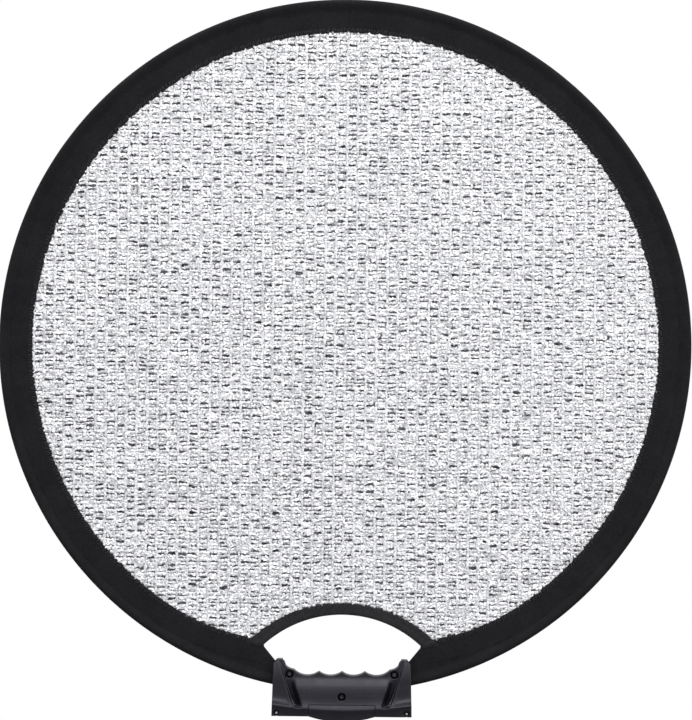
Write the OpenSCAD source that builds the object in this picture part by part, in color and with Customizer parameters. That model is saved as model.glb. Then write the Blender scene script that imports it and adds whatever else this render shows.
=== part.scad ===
// Collapsible reflector disc with a finger-grooved handle.
// A flat spring-steel hoop runs inside a cloth rim, stretches a knitted silver mesh and
// closes on itself inside the handle. The disc folds in three along two upright lines.
// Millimetres. The disc stands upright in the XZ plane and faces -Y. The origin is the
// middle of the mouth of the stand socket, under the handle.

/* [Disc] */
// Outside diameter of the cloth rim
disc_d = 600; // [480:10:760]
// Width of the cloth rim, from its outer edge to the mesh
rim_w = 29; // [24:0.5:40]
// Thickness of one layer of the rim's cloth, hem turned in
cloth_t = 0.7; // [0.5:0.1:1]
// Thickness of the knitted silver mesh
mesh_t = 1; // [0.6:0.1:1.6]
// How far the mesh is tucked into the rim and the tape
mesh_tuck = 6; // [4:0.5:9]

/* [Spring hoop] */
// Width of the flat spring-steel band, front to back
band_w = 6; // [4.5:0.5:8]
// Thickness of the band, outwards from the middle of the disc
band_t = 0.9; // [0.7:0.1:1.2]
// Distance from the rim's outer edge in to the middle of the band
band_inset = 3; // [2.6:0.1:4.5]
// Thickness of the plate that joins the band's two ends
splice_t = 0.9; // [0.7:0.1:1.4]
// Length of that plate
splice_len = 44; // [38:1:60]
// Diameter of the rivets through the plate
rivet_d = 2.4; // [1.8:0.1:3]

/* [Hand opening] */
// How far the opening reaches past each side of the handle
opening_side = 9; // [6:0.5:12]
// Height of the arch over the opening's corners
arch_rise = 28; // [22:1:36]
// Width of the tape that binds the arch, at its middle
tape_w = 8.6; // [6:0.2:12]

/* [Handle] */
// Number of finger grooves
fingers = 4; // [4:1:5]
// Distance from one finger groove to the next
finger_pitch = 20; // [17:0.5:24]
// Depth of a finger groove below the points between them
groove_depth = 3.3; // [2:0.1:4]
// Width of each end of the handle, outside the grooves
horn_w = 20; // [18:0.5:26]
// Wall of the two handle shells
shell_wall = 2.5; // [1.8:0.1:3]
// Radius of the rounded grip, which sets its depth
grip_r = 15; // [13.5:0.5:18]
// Diameter of the screws' shanks
screw_d = 3; // [2.5:0.1:3.5]

/* [Stand socket] */
// Diameter of the socket's thread, outside
thread_d = 6.35; // [5:0.05:8]
// Depth of the thread
thread_len = 9.5; // [8:0.5:11]
// Outside diameter of the brass insert
insert_d = 10; // [9:0.5:12]

/* [Fold] */
// Gap between the pieces on the two sides of a fold line
fold_gap = 0.6; // [0.4:0.1:1]

/* [Hidden] */
$fn = 96;

black_cloth = [0.12, 0.12, 0.13];
black_plastic = [0.18, 0.18, 0.2];
silver = [0.83, 0.83, 0.84];
spring_steel = [0.45, 0.47, 0.5];
nickel = [0.75, 0.74, 0.7];
brass = [0.78, 0.62, 0.32];

gap = 0.3;              // room round a piece that slides or is pushed into another
fit_gap = 0.05;         // room round a piece that is pressed or riveted tight
far = 2 * disc_d;       // longer than anything it cuts

// Disc
disc_r = disc_d / 2;
rim_r = disc_r - rim_w;                        // where the rim ends and the mesh shows
edge_h = mesh_t / 2 + gap / 2 + cloth_t;       // half the rim's thickness at that edge
band_r = disc_r - band_inset;                  // middle of the band
sleeve_h = band_w / 2 + gap + cloth_t;         // half the rim's thickness round the band
sleeve_taper = 12;                             // from the full sleeve down to the flat rim
sleeve_round = 1.8;                            // slope at the rim's outer edge
fold_x = disc_d / 6;                           // the fold lines cut the disc in three

// Handle, in heights above the lowest point of the hoop
groove_floor = 11.5;
base_h = -23.4;                                // underside of the shells
tip_h = 25.5;                                  // top of the two horns
shoulder_h = 16.4;                             // top of the handle beside the grooves
tip_w = 4.4;                                   // flat top of a horn
tip_slope = [3.4, 3.5];                        // bevel on a horn's outer corner
handle_w = fingers * finger_pitch + 2 * horn_w;
groove_r = (pow(finger_pitch / 2, 2) + pow(groove_depth, 2)) / (2 * groove_depth);
shoulder_x = fingers * finger_pitch / 2 + 1;
horn_curve_r = handle_w / 2 - tip_slope[0] - tip_w - shoulder_x + 0.2;
slab_half = 8;                                 // half depth of the plate behind the grip
horn_half = 12;                                // half depth of the horns
grip_h = -3;                                   // height of the grip's round centre
hem_r = 12.5;                                  // round of the handle's lower edge
hem_h = -14;
horn_tip_x = handle_w / 2 - tip_slope[0] - tip_w + 1.2; // horn's inner edge, at the top
horn_foot_x = handle_w / 2 - 18.5;             // the same edge, low down
horn_toe_x = handle_w / 2 - 24;
horn_foot_h = -13;
horn_toe_h = -17;
grip_end = [horn_foot_x - 4.5, shoulder_x + 1]; // half length of the grip, low and high

// Palm block, the piece with the stand socket
block_w = 57;
block_top = -13.4;
block_sag = 4.6;                               // how far its underside bows below the shells
block_r = 13.5;
block_round_h = -17;
socket_boss_d = 20;
socket_drop = 4;                               // from the block's lowest point to the mouth
tang_w = 16;
tang_half = 3.5;
mouth_h = base_h - block_sag - socket_drop;
insert_len = thread_len + 2.5;

// Screws
hole_d = screw_d + 2 * 0.1;
head_d = 1.9 * screw_d;
head_h = 2;
counterbore_d = head_d + 1;
boss_r = screw_d / 2 + 2.7;
upper_screw = [shoulder_x + 4.6, 12.6];
centre_screw = [0, -6.6];
corner_screw = [handle_w / 2 - 4.3, base_h + 2.9];
corner_head_d = 5;
corner_seat = 11.3;                            // half depth of the flat under a corner screw
upper_seat = slab_half - head_h - 0.6;
centre_seat = grip_r - 5.5;

// Hand opening, from the middle of the disc
opening_x = handle_w / 2 + opening_side;
opening_y = 2.4 - sqrt(pow(rim_r, 2) - pow(opening_x, 2));
tape_end_x = opening_x + 9.4;
tape_end_rise = 5.8;
arch_r = (pow(opening_x, 2) + pow(arch_rise, 2)) / (2 * arch_rise);
arch_y = opening_y + arch_rise - arch_r;
tape_top = arch_rise + tape_w - tape_end_rise;
tape_r = (pow(tape_end_x, 2) + pow(tape_top, 2)) / (2 * tape_top);
tape_y = opening_y + arch_rise + tape_w - tape_r;
rim_tuck = 3.5;                                // how far the rim's ends go into the handle
rim_entry_h = tip_h - tip_slope[1];            // where the opening's side meets the handle

// Splice inside the handle
splice_r = band_r - band_t / 2 - fit_gap - splice_t / 2;
rivet_head_d = 1.8 * rivet_d;
rivet_head_h = 0.7;
rivet_x = [for (x = [-3, -1.4, 1.4, 3]) x * splice_len / 8];
end_gap = 1;

// ---- frames -------------------------------------------------------------------------

// The disc is drawn flat: x to the right, y up and z towards the front.
module upright() {
    translate([0, 0, band_r - mouth_h]) rotate([90, 0, 0]) children();
}

// Heights on the handle start at the lowest point of the hoop.
module on_handle() {
    upright() translate([0, -band_r, 0]) children();
}

// ---- flat shapes ----------------------------------------------------------------------

module between(x0, x1) {
    translate([x0, -far / 2]) square([x1 - x0, far]);
}

module arch_hole() {
    translate([0, arch_y]) circle(arch_r);
}

// What the hand goes through, drawn on past the handle's top.
module opening_sides() {
    side = handle_w / 2;
    low = -band_r + rim_entry_h;
    slope = (opening_x - side) / (opening_y - low);
    drop = 12;
    polygon([
        [-opening_x, opening_y + tape_w], [-opening_x, opening_y],
        [-side + slope * drop, low - drop], [side - slope * drop, low - drop],
        [opening_x, opening_y], [opening_x, opening_y + tape_w]
    ]);
}

module handle_outline() {
    side = handle_w / 2;
    difference() {
        polygon([
            [-side, base_h], [side, base_h], [side, tip_h - tip_slope[1]],
            [side - tip_slope[0], tip_h], [-side + tip_slope[0], tip_h],
            [-side, tip_h - tip_slope[1]]
        ]);
        translate([-shoulder_x, shoulder_h + 0.2])
            square([2 * shoulder_x, tip_h - shoulder_h]);
        for (s = [-1, 1])
            translate([s * shoulder_x, shoulder_h + horn_curve_r]) circle(horn_curve_r);
        for (i = [0 : fingers - 1])
            translate([(i - (fingers - 1) / 2) * finger_pitch, groove_floor + groove_r])
                circle(groove_r);
    }
}

// One horn, with its slanted inner edge.
module horn_face() {
    side = handle_w / 2;
    polygon([
        [side, base_h], [side, tip_h - tip_slope[1]], [side - tip_slope[0], tip_h],
        [horn_tip_x, tip_h], [horn_foot_x, horn_foot_h], [horn_toe_x, horn_toe_h],
        [horn_toe_x, base_h]
    ]);
}

// The hollow in a horn stops below its tip, where the horn grows narrow.
module horn_hollow_face() {
    side = handle_w / 2 - shell_wall;
    top = rim_entry_h - 2;
    lean = (horn_tip_x - horn_foot_x) / (tip_h - horn_foot_h);
    polygon([
        [side, base_h + shell_wall], [side, top],
        [horn_foot_x + lean * (top - horn_foot_h) + shell_wall, top],
        [horn_foot_x + shell_wall, horn_foot_h], [horn_toe_x + shell_wall, horn_toe_h],
        [horn_toe_x + shell_wall, base_h + shell_wall]
    ]);
}

// ---- handle -----------------------------------------------------------------------------

module along_x(radius, height, length) {
    translate([-length / 2, height, 0]) rotate([0, 90, 0]) cylinder(r = radius, h = length);
}

// The rounded grip between the horns.
module grip_round(inset = 0) {
    low = grip_end[0] - inset;
    high = grip_end[1] - inset;
    intersection() {
        along_x(grip_r - inset, grip_h, handle_w);
        linear_extrude(2 * far, center = true)
            polygon([
                [-low, grip_h - grip_r], [low, grip_h - grip_r],
                [high, grip_h + grip_r], [-high, grip_h + grip_r]
            ]);
    }
}

// The front half of the handle's outside, before it is hollowed.
module half_outside() {
    intersection() {
        linear_extrude(grip_r + 1) handle_outline();
        union() {
            translate([-handle_w / 2, base_h, 0]) cube([handle_w, tip_h - base_h, slab_half]);
            grip_round();
            along_x(hem_r, hem_h, handle_w);
            for (s = [0, 1]) mirror([s, 0, 0]) linear_extrude(horn_half) horn_face();
        }
    }
}

// The hollow for the hoop's ends, with a ledge left over the palm block.
module half_hollow() {
    inner_w = handle_w - 2 * shell_wall;
    ledge_w = block_w + 2 * gap + 2 * shell_wall;
    difference() {
        union() {
            translate([-inner_w / 2, base_h + shell_wall, -1])
                cube([inner_w, groove_floor - base_h - 2 * shell_wall, slab_half + 1 - shell_wall]);
            intersection() {
                grip_round(shell_wall);
                translate([-inner_w / 2, base_h + shell_wall, -1])
                    cube([inner_w, groove_floor - base_h - 2 * shell_wall, grip_r + 2]);
            }
            for (s = [0, 1])
                mirror([s, 0, 0]) translate([0, 0, -1])
                    linear_extrude(horn_half + 1 - shell_wall) horn_hollow_face();
        }
        translate([-ledge_w / 2, base_h, -2])
            cube([ledge_w, block_top + gap + shell_wall - base_h, grip_r + 4]);
    }
}

module at_screws() {
    for (s = [-1, 1]) {
        translate([s * upper_screw[0], upper_screw[1], 0]) children();
        translate([s * corner_screw[0], corner_screw[1], 0]) children();
    }
    translate([centre_screw[0], centre_screw[1], 0]) children();
}

// Both shells without their screw holes. They meet on the disc's own plane.
module shell_blank() {
    slot_low = band_r - sqrt(pow(disc_r + gap, 2) - pow(handle_w / 2 - rim_tuck - gap, 2));
    slot_half = sleeve_h + gap;
    difference() {
        union() {
            difference() {
                half_outside();
                half_hollow();
            }
            intersection() {
                half_outside();
                at_screws() cylinder(r = boss_r, h = grip_r + 1);
            }
        }
        // The two slots that the rim and the hoop come in through
        for (s = [0, 1])
            mirror([s, 0, 0])
                translate([handle_w / 2 - rim_tuck - gap, slot_low, -1])
                    cube([rim_tuck + 2, rim_entry_h - slot_low, slot_half + 1]);
        // The notch that the palm block fills, and the way through for its tang
        translate([-block_w / 2 - gap, base_h - 1, -1])
            cube([block_w + 2 * gap, block_top + gap - base_h + 1, grip_r + 3]);
        translate([-tang_w / 2 - gap, block_top, -1])
            cube([tang_w + 2 * gap, centre_screw[1] + boss_r + gap - block_top, tang_half + gap + 1]);
        // The flats under the corner screws
        for (s = [-1, 1])
            translate([s * corner_screw[0], corner_screw[1], corner_seat])
                cylinder(d = corner_head_d + 1, h = grip_r);
    }
}

module handle_front_shell() {
    color(black_plastic) on_handle() difference() {
        translate([0, 0, fit_gap]) shell_blank();
        at_screws() translate([0, 0, -1]) cylinder(d = hole_d, h = grip_r + 3);
        for (s = [-1, 1])
            translate([s * upper_screw[0], upper_screw[1], upper_seat])
                cylinder(d = counterbore_d, h = grip_r);
        translate([centre_screw[0], centre_screw[1], centre_seat])
            cylinder(d = counterbore_d, h = grip_r);
    }
}

// The rear shell holds the screws' tips in blind holes.
module handle_rear_shell() {
    color(black_plastic) on_handle() mirror([0, 0, 1]) difference() {
        translate([0, 0, fit_gap]) shell_blank();
        for (s = [-1, 1]) {
            translate([s * upper_screw[0], upper_screw[1], -1])
                cylinder(d = hole_d, h = 1 + screw_reach(upper_seat));
            translate([s * corner_screw[0], corner_screw[1], -1])
                cylinder(d = hole_d, h = 1 + screw_reach(corner_seat));
        }
        translate([centre_screw[0], centre_screw[1], -1])
            cylinder(d = hole_d, h = 1 + screw_reach(centre_seat));
    }
}

// How deep a screw's hole goes into the rear shell, for the seat that its head lies on.
function screw_reach(seat) = min(seat - 0.4, 10);

module screw(seat, top_d, top_h) {
    tip = screw_reach(seat) - 0.4;
    translate([0, 0, seat + fit_gap]) difference() {
        cylinder(d = top_d, h = top_h);
        translate([0, 0, top_h - 0.5 * top_h]) cross_slot(top_d);
    }
    translate([0, 0, -tip]) cylinder(d = screw_d, h = seat + tip + fit_gap);
}

// A cross recess, cut as two bars.
module cross_slot(top_d) {
    for (a = [0, 90])
        rotate([0, 0, a + 45]) translate([-0.3 * top_d, -0.09 * top_d, 0])
            cube([0.6 * top_d, 0.18 * top_d, top_d]);
}

module handle_screws() {
    color(spring_steel) on_handle() {
        for (s = [-1, 1])
            translate([s * upper_screw[0], upper_screw[1], 0])
                screw(upper_seat, head_d, head_h);
        translate([centre_screw[0], centre_screw[1], 0])
            screw(centre_seat, head_d, head_h);
    }
}

module corner_screws() {
    color(nickel) on_handle() for (s = [-1, 1])
        translate([s * corner_screw[0], corner_screw[1], 0])
            screw(corner_seat, corner_head_d, 0.8 * head_h);
}

// The block under the palm carries the stand socket. The centre screw holds its tang.
module palm_block() {
    sag_r = (pow(block_w / 2, 2) + pow(block_sag, 2)) / (2 * block_sag);
    low = base_h - block_sag;
    color(black_plastic) on_handle() difference() {
        union() {
            intersection() {
                along_x(block_r, block_round_h, block_w);
                linear_extrude(2 * block_r, center = true) intersection() {
                    translate([-block_w / 2, low]) square([block_w, block_top - low]);
                    translate([0, low + sag_r]) circle(sag_r, $fn = 256);
                }
            }
            translate([-tang_w / 2, block_top - 1, -tang_half])
                cube([tang_w, centre_screw[1] + boss_r - block_top + 1, 2 * tang_half]);
            translate([0, mouth_h, 0]) rotate([-90, 0, 0])
                cylinder(d = socket_boss_d, h = socket_drop + block_sag);
        }
        translate([centre_screw[0], centre_screw[1], -block_r])
            cylinder(d = hole_d, h = 2 * block_r);
        translate([0, mouth_h - 1, 0]) rotate([-90, 0, 0])
            cylinder(d = insert_d + 2 * fit_gap, h = insert_len + fit_gap + 1);
    }
}

module stand_socket_insert() {
    color(brass) on_handle() translate([0, mouth_h, 0]) rotate([-90, 0, 0]) difference() {
        cylinder(d = insert_d, h = insert_len);
        translate([0, 0, -1]) cylinder(d = thread_d, h = thread_len + 1);
    }
}

// ---- spring hoop ------------------------------------------------------------------------

// A stretch of the ring whose section is drawn by the child, from one angle to another.
module ring_part(from, to) {
    rotate([0, 0, from]) rotate_extrude(angle = to - from, $fn = 256) children();
}

module band_section(r = band_r, t = band_t) {
    translate([r - t / 2, -band_w / 2]) square([t, band_w]);
}

// Keeps what lies between two upright lines.
module only_between(x0, x1) {
    intersection() {
        children();
        translate([x0, -far / 2, -far / 2]) cube([x1 - x0, far, far]);
    }
}

// Angle from straight down to where a circle of radius r crosses an upright line at x.
function angle_at(x, r) = asin(x / r);

module hoop_lobe_band() {
    reach = 90 - angle_at(fold_x, disc_r) + 3;
    only_between(-far, -fold_x - fold_gap / 2) ring_part(180 - reach, 180 + reach) band_section();
}

module hoop_left_band() {
    color(spring_steel) upright() hoop_lobe_band();
}

module hoop_right_band() {
    color(spring_steel) upright() mirror([1, 0, 0]) hoop_lobe_band();
}

module hoop_top_band() {
    reach = angle_at(fold_x, rim_r) + 3;
    inner = fold_x - fold_gap / 2;
    color(spring_steel) upright()
        only_between(-inner, inner) ring_part(90 - reach, 90 + reach) band_section();
}

module at_rivets(from, to) {
    for (x = rivet_x)
        if (x > from && x < to)
            rotate([0, 0, angle_at(x, band_r)]) translate([0, -band_r, 0])
                rotate([90, 0, 0]) children();
}

module hoop_end() {
    reach = angle_at(fold_x, rim_r) + 3;
    only_between(-fold_x + fold_gap / 2, -end_gap / 2) difference() {
        ring_part(270 - reach, 270) band_section();
        at_rivets(-far, 0) cylinder(d = rivet_d + 2 * fit_gap, h = 4 * band_t, center = true);
    }
}

module hoop_end_left() {
    color(spring_steel) upright() hoop_end();
}

module hoop_end_right() {
    color(spring_steel) upright() mirror([1, 0, 0]) hoop_end();
}

module hoop_splice_plate() {
    reach = angle_at(splice_len / 2, splice_r);
    color(spring_steel) upright() difference() {
        ring_part(270 - reach, 270 + reach) band_section(splice_r, splice_t);
        at_rivets(-far, far)
            cylinder(d = rivet_d + 2 * fit_gap, h = 4 * (band_t + splice_t), center = true);
    }
}

// The local z axis of each rivet points away from the middle of the disc.
module hoop_splice_rivets() {
    outside = band_t / 2 + 0.1;
    inside = splice_t + fit_gap + band_t / 2 + 0.1;
    color(nickel) upright() at_rivets(-far, far) {
        translate([0, 0, -inside - rivet_head_h])
            cylinder(d = rivet_head_d, h = rivet_head_h);
        translate([0, 0, -inside - 0.1]) cylinder(d = rivet_d, h = inside + outside + 0.2);
        translate([0, 0, outside]) cylinder(d = rivet_head_d, h = rivet_head_h);
    }
}

// ---- cloth ------------------------------------------------------------------------------

// The rim's section: a sleeve round the band, flat double cloth, and a slot for the mesh.
module rim_section() {
    channel_t = band_t + 2 * gap;
    channel_w = band_w + 2 * gap;
    outline = [
        [rim_r, edge_h], [band_r - sleeve_taper, edge_h + 0.3],
        [band_r - channel_t, sleeve_h], [band_r + channel_t / 2, sleeve_h],
        [disc_r, sleeve_h - sleeve_round]
    ];
    last = len(outline) - 1;
    difference() {
        polygon([
            for (p = outline) p,
            for (i = [0 : last]) [outline[last - i][0], -outline[last - i][1]]
        ]);
        translate([band_r - channel_t / 2, -channel_w / 2]) square([channel_t, channel_w]);
        translate([rim_r - 1, -mesh_t / 2 - gap / 2])
            square([mesh_tuck + gap + 1, mesh_t + gap]);
    }
}

module rim_lobe() {
    reach = 90 - angle_at(fold_x, disc_r) + 3;
    only_between(-far, -fold_x - fold_gap / 2) ring_part(180 - reach, 180 + reach) rim_section();
}

module rim_binding_left() {
    color(black_cloth) upright() rim_lobe();
}

module rim_binding_right() {
    color(black_cloth) upright() mirror([1, 0, 0]) rim_lobe();
}

module rim_binding_top() {
    reach = angle_at(fold_x, rim_r) + 3;
    inner = fold_x - fold_gap / 2;
    color(black_cloth) upright()
        only_between(-inner, inner) ring_part(90 - reach, 90 + reach) rim_section();
}

// From the fold line down to the slot in the handle's side, cut back along the opening.
module rim_lower() {
    reach = angle_at(fold_x, rim_r) + 3;
    stop = angle_at(handle_w / 2 - 2 * rim_tuck, disc_r);
    difference() {
        only_between(-fold_x + fold_gap / 2, -handle_w / 2 + rim_tuck)
            ring_part(270 - reach, 270 - stop) rim_section();
        linear_extrude(far, center = true) opening_sides();
        translate([-handle_w / 2 + rim_tuck + 1, -band_r + rim_entry_h - gap, -far / 2])
            mirror([1, 0, 0]) cube([rim_tuck + 1 + gap, far / 4, far]);
    }
}

module rim_binding_lower_left() {
    color(black_cloth) upright() rim_lower();
}

module rim_binding_lower_right() {
    color(black_cloth) upright() mirror([1, 0, 0]) rim_lower();
}

// The tape is folded over the mesh's edge along the arch.
module hand_opening_tape() {
    color(black_cloth) upright() difference() {
        linear_extrude(2 * edge_h, center = true) difference() {
            intersection() {
                translate([0, tape_y]) circle(tape_r, $fn = 256);
                circle(rim_r - gap, $fn = 256);
                between(-tape_end_x, tape_end_x);
                translate([-far / 2, opening_y - 1]) square([far, far]);
            }
            arch_hole();
        }
        linear_extrude(mesh_t + gap, center = true) difference() {
            translate([0, tape_y]) circle(tape_r + 1, $fn = 256);
            translate([0, tape_y]) circle(tape_r - mesh_tuck - gap, $fn = 256);
        }
    }
}

module mesh_sheet() {
    linear_extrude(mesh_t, center = true) children();
}

module mesh_lobe() {
    mesh_sheet() intersection() {
        circle(rim_r + mesh_tuck, $fn = 256);
        between(-far, -fold_x - fold_gap / 2);
    }
}

module mesh_left() {
    color(silver) upright() mesh_lobe();
}

module mesh_right() {
    color(silver) upright() mirror([1, 0, 0]) mesh_lobe();
}

// The middle third, cut away over the hand opening.
module mesh_centre() {
    inner = fold_x - fold_gap / 2;
    color(silver) upright() mesh_sheet() difference() {
        intersection() {
            circle(rim_r + mesh_tuck, $fn = 256);
            between(-inner, inner);
        }
        translate([0, tape_y]) circle(tape_r - mesh_tuck, $fn = 256);
        opening_sides();
        translate([-tape_end_x + 1, -disc_r]) square([2 * tape_end_x - 2, disc_r + opening_y + 1]);
    }
}

handle_front_shell();
handle_rear_shell();
palm_block();
stand_socket_insert();
handle_screws();
corner_screws();
hoop_end_left();
hoop_end_right();
hoop_splice_plate();
hoop_splice_rivets();
hoop_top_band();
hoop_left_band();
hoop_right_band();
mesh_centre();
mesh_left();
mesh_right();
rim_binding_top();
rim_binding_left();
rim_binding_right();
rim_binding_lower_left();
rim_binding_lower_right();
hand_opening_tape();
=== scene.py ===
# %% [markdown]
# # A collapsible reflector disc, built in cells
#
# The object is a light reflector for studio work: a ring of spring steel in a
# black cloth rim, a sheet of silver knitted tape stretched inside it, and a
# moulded hand grip that closes the ring. Each step below says what the piece is
# on the real object, how it could be made in Blender, and why one way was taken.
#
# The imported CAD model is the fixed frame. Everything is in metres, x to the
# right, z up, and the front of the disc looks along minus y.

import math

import bmesh
import bpy
import numpy as np
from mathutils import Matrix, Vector


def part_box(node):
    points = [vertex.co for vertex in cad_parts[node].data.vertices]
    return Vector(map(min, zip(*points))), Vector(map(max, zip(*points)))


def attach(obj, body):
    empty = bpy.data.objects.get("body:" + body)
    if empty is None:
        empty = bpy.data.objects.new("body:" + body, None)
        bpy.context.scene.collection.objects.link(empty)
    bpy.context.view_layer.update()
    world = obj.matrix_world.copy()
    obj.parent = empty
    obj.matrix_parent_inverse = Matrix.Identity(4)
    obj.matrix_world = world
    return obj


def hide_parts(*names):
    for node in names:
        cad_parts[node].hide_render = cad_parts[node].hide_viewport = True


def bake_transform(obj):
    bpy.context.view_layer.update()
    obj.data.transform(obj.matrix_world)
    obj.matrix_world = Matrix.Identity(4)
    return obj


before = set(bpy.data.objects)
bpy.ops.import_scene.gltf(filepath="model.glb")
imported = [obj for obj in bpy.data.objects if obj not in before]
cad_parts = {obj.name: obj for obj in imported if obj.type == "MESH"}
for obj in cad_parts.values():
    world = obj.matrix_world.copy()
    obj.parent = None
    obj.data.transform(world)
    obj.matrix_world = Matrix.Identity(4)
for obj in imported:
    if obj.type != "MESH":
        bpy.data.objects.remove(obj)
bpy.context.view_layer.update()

# %% [markdown]
# ## Measures
#
# A maker measures the frame once and works from those numbers. The CAD nodes
# give the disc's centre, its outer radius and the handle's box; the other
# lengths below repeat what the part was designed to.

# %% Measures of the disc
MM = 0.001
top_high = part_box("rim_binding_top")[1]
shell_low, shell_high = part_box("handle_front_shell")
RIM_OUT = 300 * MM  # outer radius of the cloth rim
RIM_IN = 271 * MM  # where the rim ends and the silver cloth shows
HOOP_R = 297 * MM  # middle of the spring band
DISC_Z = top_high.z - RIM_OUT
HOOP_LOW = DISC_Z - HOOP_R  # heights on the handle are counted from here
HANDLE_HALF = (shell_high.x - shell_low.x) / 2
SIDES = (("left", -1), ("right", 1))  # cloth and hoop are made in two halves
FACES = (("front", -1), ("back", 1))
print("disc centre height", round(DISC_Z, 4), "handle half width", round(HANDLE_HALF, 4))

# %% [markdown]
# ## Camera
#
# The disc is seen square on, from far enough that its rim stays a true circle.
# A long lens a few metres away does that. The camera is made first, because
# everything after it is judged through it.

# %% Camera
VIEW_HEIGHT = 0.6239  # height of the picture at the disc
VIEW_X, VIEW_Z = 0.0007, 0.3166
CAMERA_AWAY = 3.6
SENSOR = 36.0
ROLL = math.radians(0.6)  # the disc hangs a touch off level


def placed(name, data):
    """Puts a mesh, lamp or camera into the scene as an object."""
    made = bpy.data.objects.new(name, data)
    bpy.context.scene.collection.objects.link(made)
    return made


camera_data = bpy.data.cameras.new("studio_camera")
camera_data.sensor_width = SENSOR
camera_data.lens = SENSOR * CAMERA_AWAY / VIEW_HEIGHT
camera = placed("studio_camera", camera_data)
camera.location = (VIEW_X, -CAMERA_AWAY, VIEW_Z)
camera.rotation_euler = (math.radians(90), -ROLL, 0)
bpy.context.scene.camera = camera
print("lens", round(camera_data.lens, 1), "mm")

# %% [markdown]
# ## Light, sky and floor
#
# Product shots of a reflector are lit from above by one wide soft box, with a
# white surround. The sky is a smooth grey that is paler overhead, and looks
# pure white to the camera. A wide soft lamp hangs above and in front, and two
# weaker ones stand at the sides. The floor is pale and lies well below.

# %% A helper for node trees
def plug(tree, socket, value):
    """Wires a socket or a node's first live output, or sets a plain value."""
    if isinstance(value, bpy.types.Node):
        value = next(o for o in value.outputs if o.enabled)
    if isinstance(value, bpy.types.NodeSocket):
        tree.links.new(value, socket)
    else:
        socket.default_value = value


def node(tree, kind, feeds=None, **settings):
    """Adds a node. Feeds are by place or by the name of a live input."""
    made = tree.nodes.new(kind)
    for name, value in settings.items():
        setattr(made, name, value)
    for key, value in (feeds or {}).items():
        if isinstance(key, int):
            plug(tree, made.inputs[key], value)
        else:
            live = [s for s in made.inputs if s.enabled and s.name == key]
            plug(tree, live[0], value)
    return made


def calc(tree, operation, a, b=0.0):
    """One sum on numbers."""
    return node(tree, "ShaderNodeMath", {0: a, 1: b}, operation=operation).outputs[0]


def vec(tree, operation, a, b=(0.0, 0.0, 0.0)):
    """One sum on vectors."""
    return node(tree, "ShaderNodeVectorMath", {0: a, 1: b}, operation=operation).outputs[0]


def xyz(tree, x=0.0, y=0.0, z=0.0):
    """A vector from three numbers."""
    return node(tree, "ShaderNodeCombineXYZ", {0: x, 1: y, 2: z})


def noise(tree, place, scale, detail, roughness=0.5):
    """Soft random clouds."""
    return node(tree, "ShaderNodeTexNoise", {"Vector": place, "Scale": scale, "Detail": detail,
                                             "Roughness": roughness})


print("helpers ready")

# %% Sky
world = bpy.data.worlds.new("studio")
bpy.context.scene.world = world
world.use_nodes = True
sky = world.node_tree
sky.nodes.clear()
aim = node(sky, "ShaderNodeTexCoord").outputs["Generated"]
height = node(sky, "ShaderNodeSeparateXYZ", {0: aim}).outputs["Z"]
lift = node(sky, "ShaderNodeMapRange", {"Value": height, "From Min": -0.5, "From Max": 0.9,
                                        "To Min": 0.50, "To Max": 1.35})
studio_light = node(sky, "ShaderNodeBackground", {"Color": (0.97, 0.98, 1.0, 1), "Strength": lift})
paper = node(sky, "ShaderNodeBackground", {"Color": (1, 1, 1, 1), "Strength": 1.0})
seen = node(sky, "ShaderNodeLightPath").outputs["Is Camera Ray"]
both = node(sky, "ShaderNodeMixShader", {0: seen, 1: studio_light, 2: paper})
node(sky, "ShaderNodeOutputWorld", {"Surface": both})
bpy.context.scene.view_settings.view_transform = "Standard"
print("sky ready")

# %% Lamps
def soft_lamp(name, place, target, width, depth, watts):
    """A soft box: an area lamp turned towards a point."""
    lamp = bpy.data.lights.new(name, "AREA")
    lamp.shape, lamp.size, lamp.size_y, lamp.energy = "RECTANGLE", width, depth, watts
    made = placed(name, lamp)
    made.location = place
    made.rotation_mode = "QUATERNION"
    made.rotation_quaternion = (Vector(target) - Vector(place)).to_track_quat("-Z", "Y")


soft_lamp("box_above", place=(0.1, -1.35, 2.9), target=(0, 0, 0.3), width=2.4, depth=1.4, watts=47)
soft_lamp("box_right", place=(2.2, -1.8, 0.7), target=(0, 0, 0.25), width=0.9, depth=1.5, watts=16)
soft_lamp("box_left", place=(-2.0, -1.5, 0.25), target=(0, 0, 0.2), width=0.6, depth=1.2, watts=5)
print("lamps ready")

# %% Floor
FLOOR_DROP, FLOOR_R, FLOOR_SIDES = 0.30, 3.2, 96


def mesh_of(name, points, faces=(), edges=()):
    """A bare mesh from lists of points, faces and edges."""
    data = bpy.data.meshes.new(name)
    data.from_pydata([tuple(p) for p in points], list(edges), [tuple(f) for f in faces])
    return data


ring = [(FLOOR_R * math.cos(a), FLOOR_R * math.sin(a), -FLOOR_DROP)
        for a in np.linspace(0, 2 * math.pi, FLOOR_SIDES, endpoint=False)]
floor = placed("floor", mesh_of("floor", ring, [range(FLOOR_SIDES)]))
print("floor", FLOOR_R * 2, "m wide")

# %% [markdown]
# ## Effects that several finishes share
#
# Cloth weave, moulded grain, crumpled foil and handling marks are each a node
# group: a small machine with named inputs that returns a number that changes
# over the surface. Each finish then uses it with its own sizes. Cloth reads the
# place that its points had before any fold, stored on the piece as
# `rest_place`, so the weave turns with the cloth.

# %% Start a shader group
def shader_group(name, inputs, outputs):
    """A shader node group with named inputs and outputs, and its two end nodes."""
    group = bpy.data.node_groups.new(name, "ShaderNodeTree")
    for label, kind, value in inputs:
        socket = group.interface.new_socket(name=label, in_out="INPUT", socket_type=kind)
        if value is not None:
            socket.default_value = value
    for label, kind in outputs:
        group.interface.new_socket(name=label, in_out="OUTPUT", socket_type=kind)
    return group, node(group, "NodeGroupInput"), node(group, "NodeGroupOutput")


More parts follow.
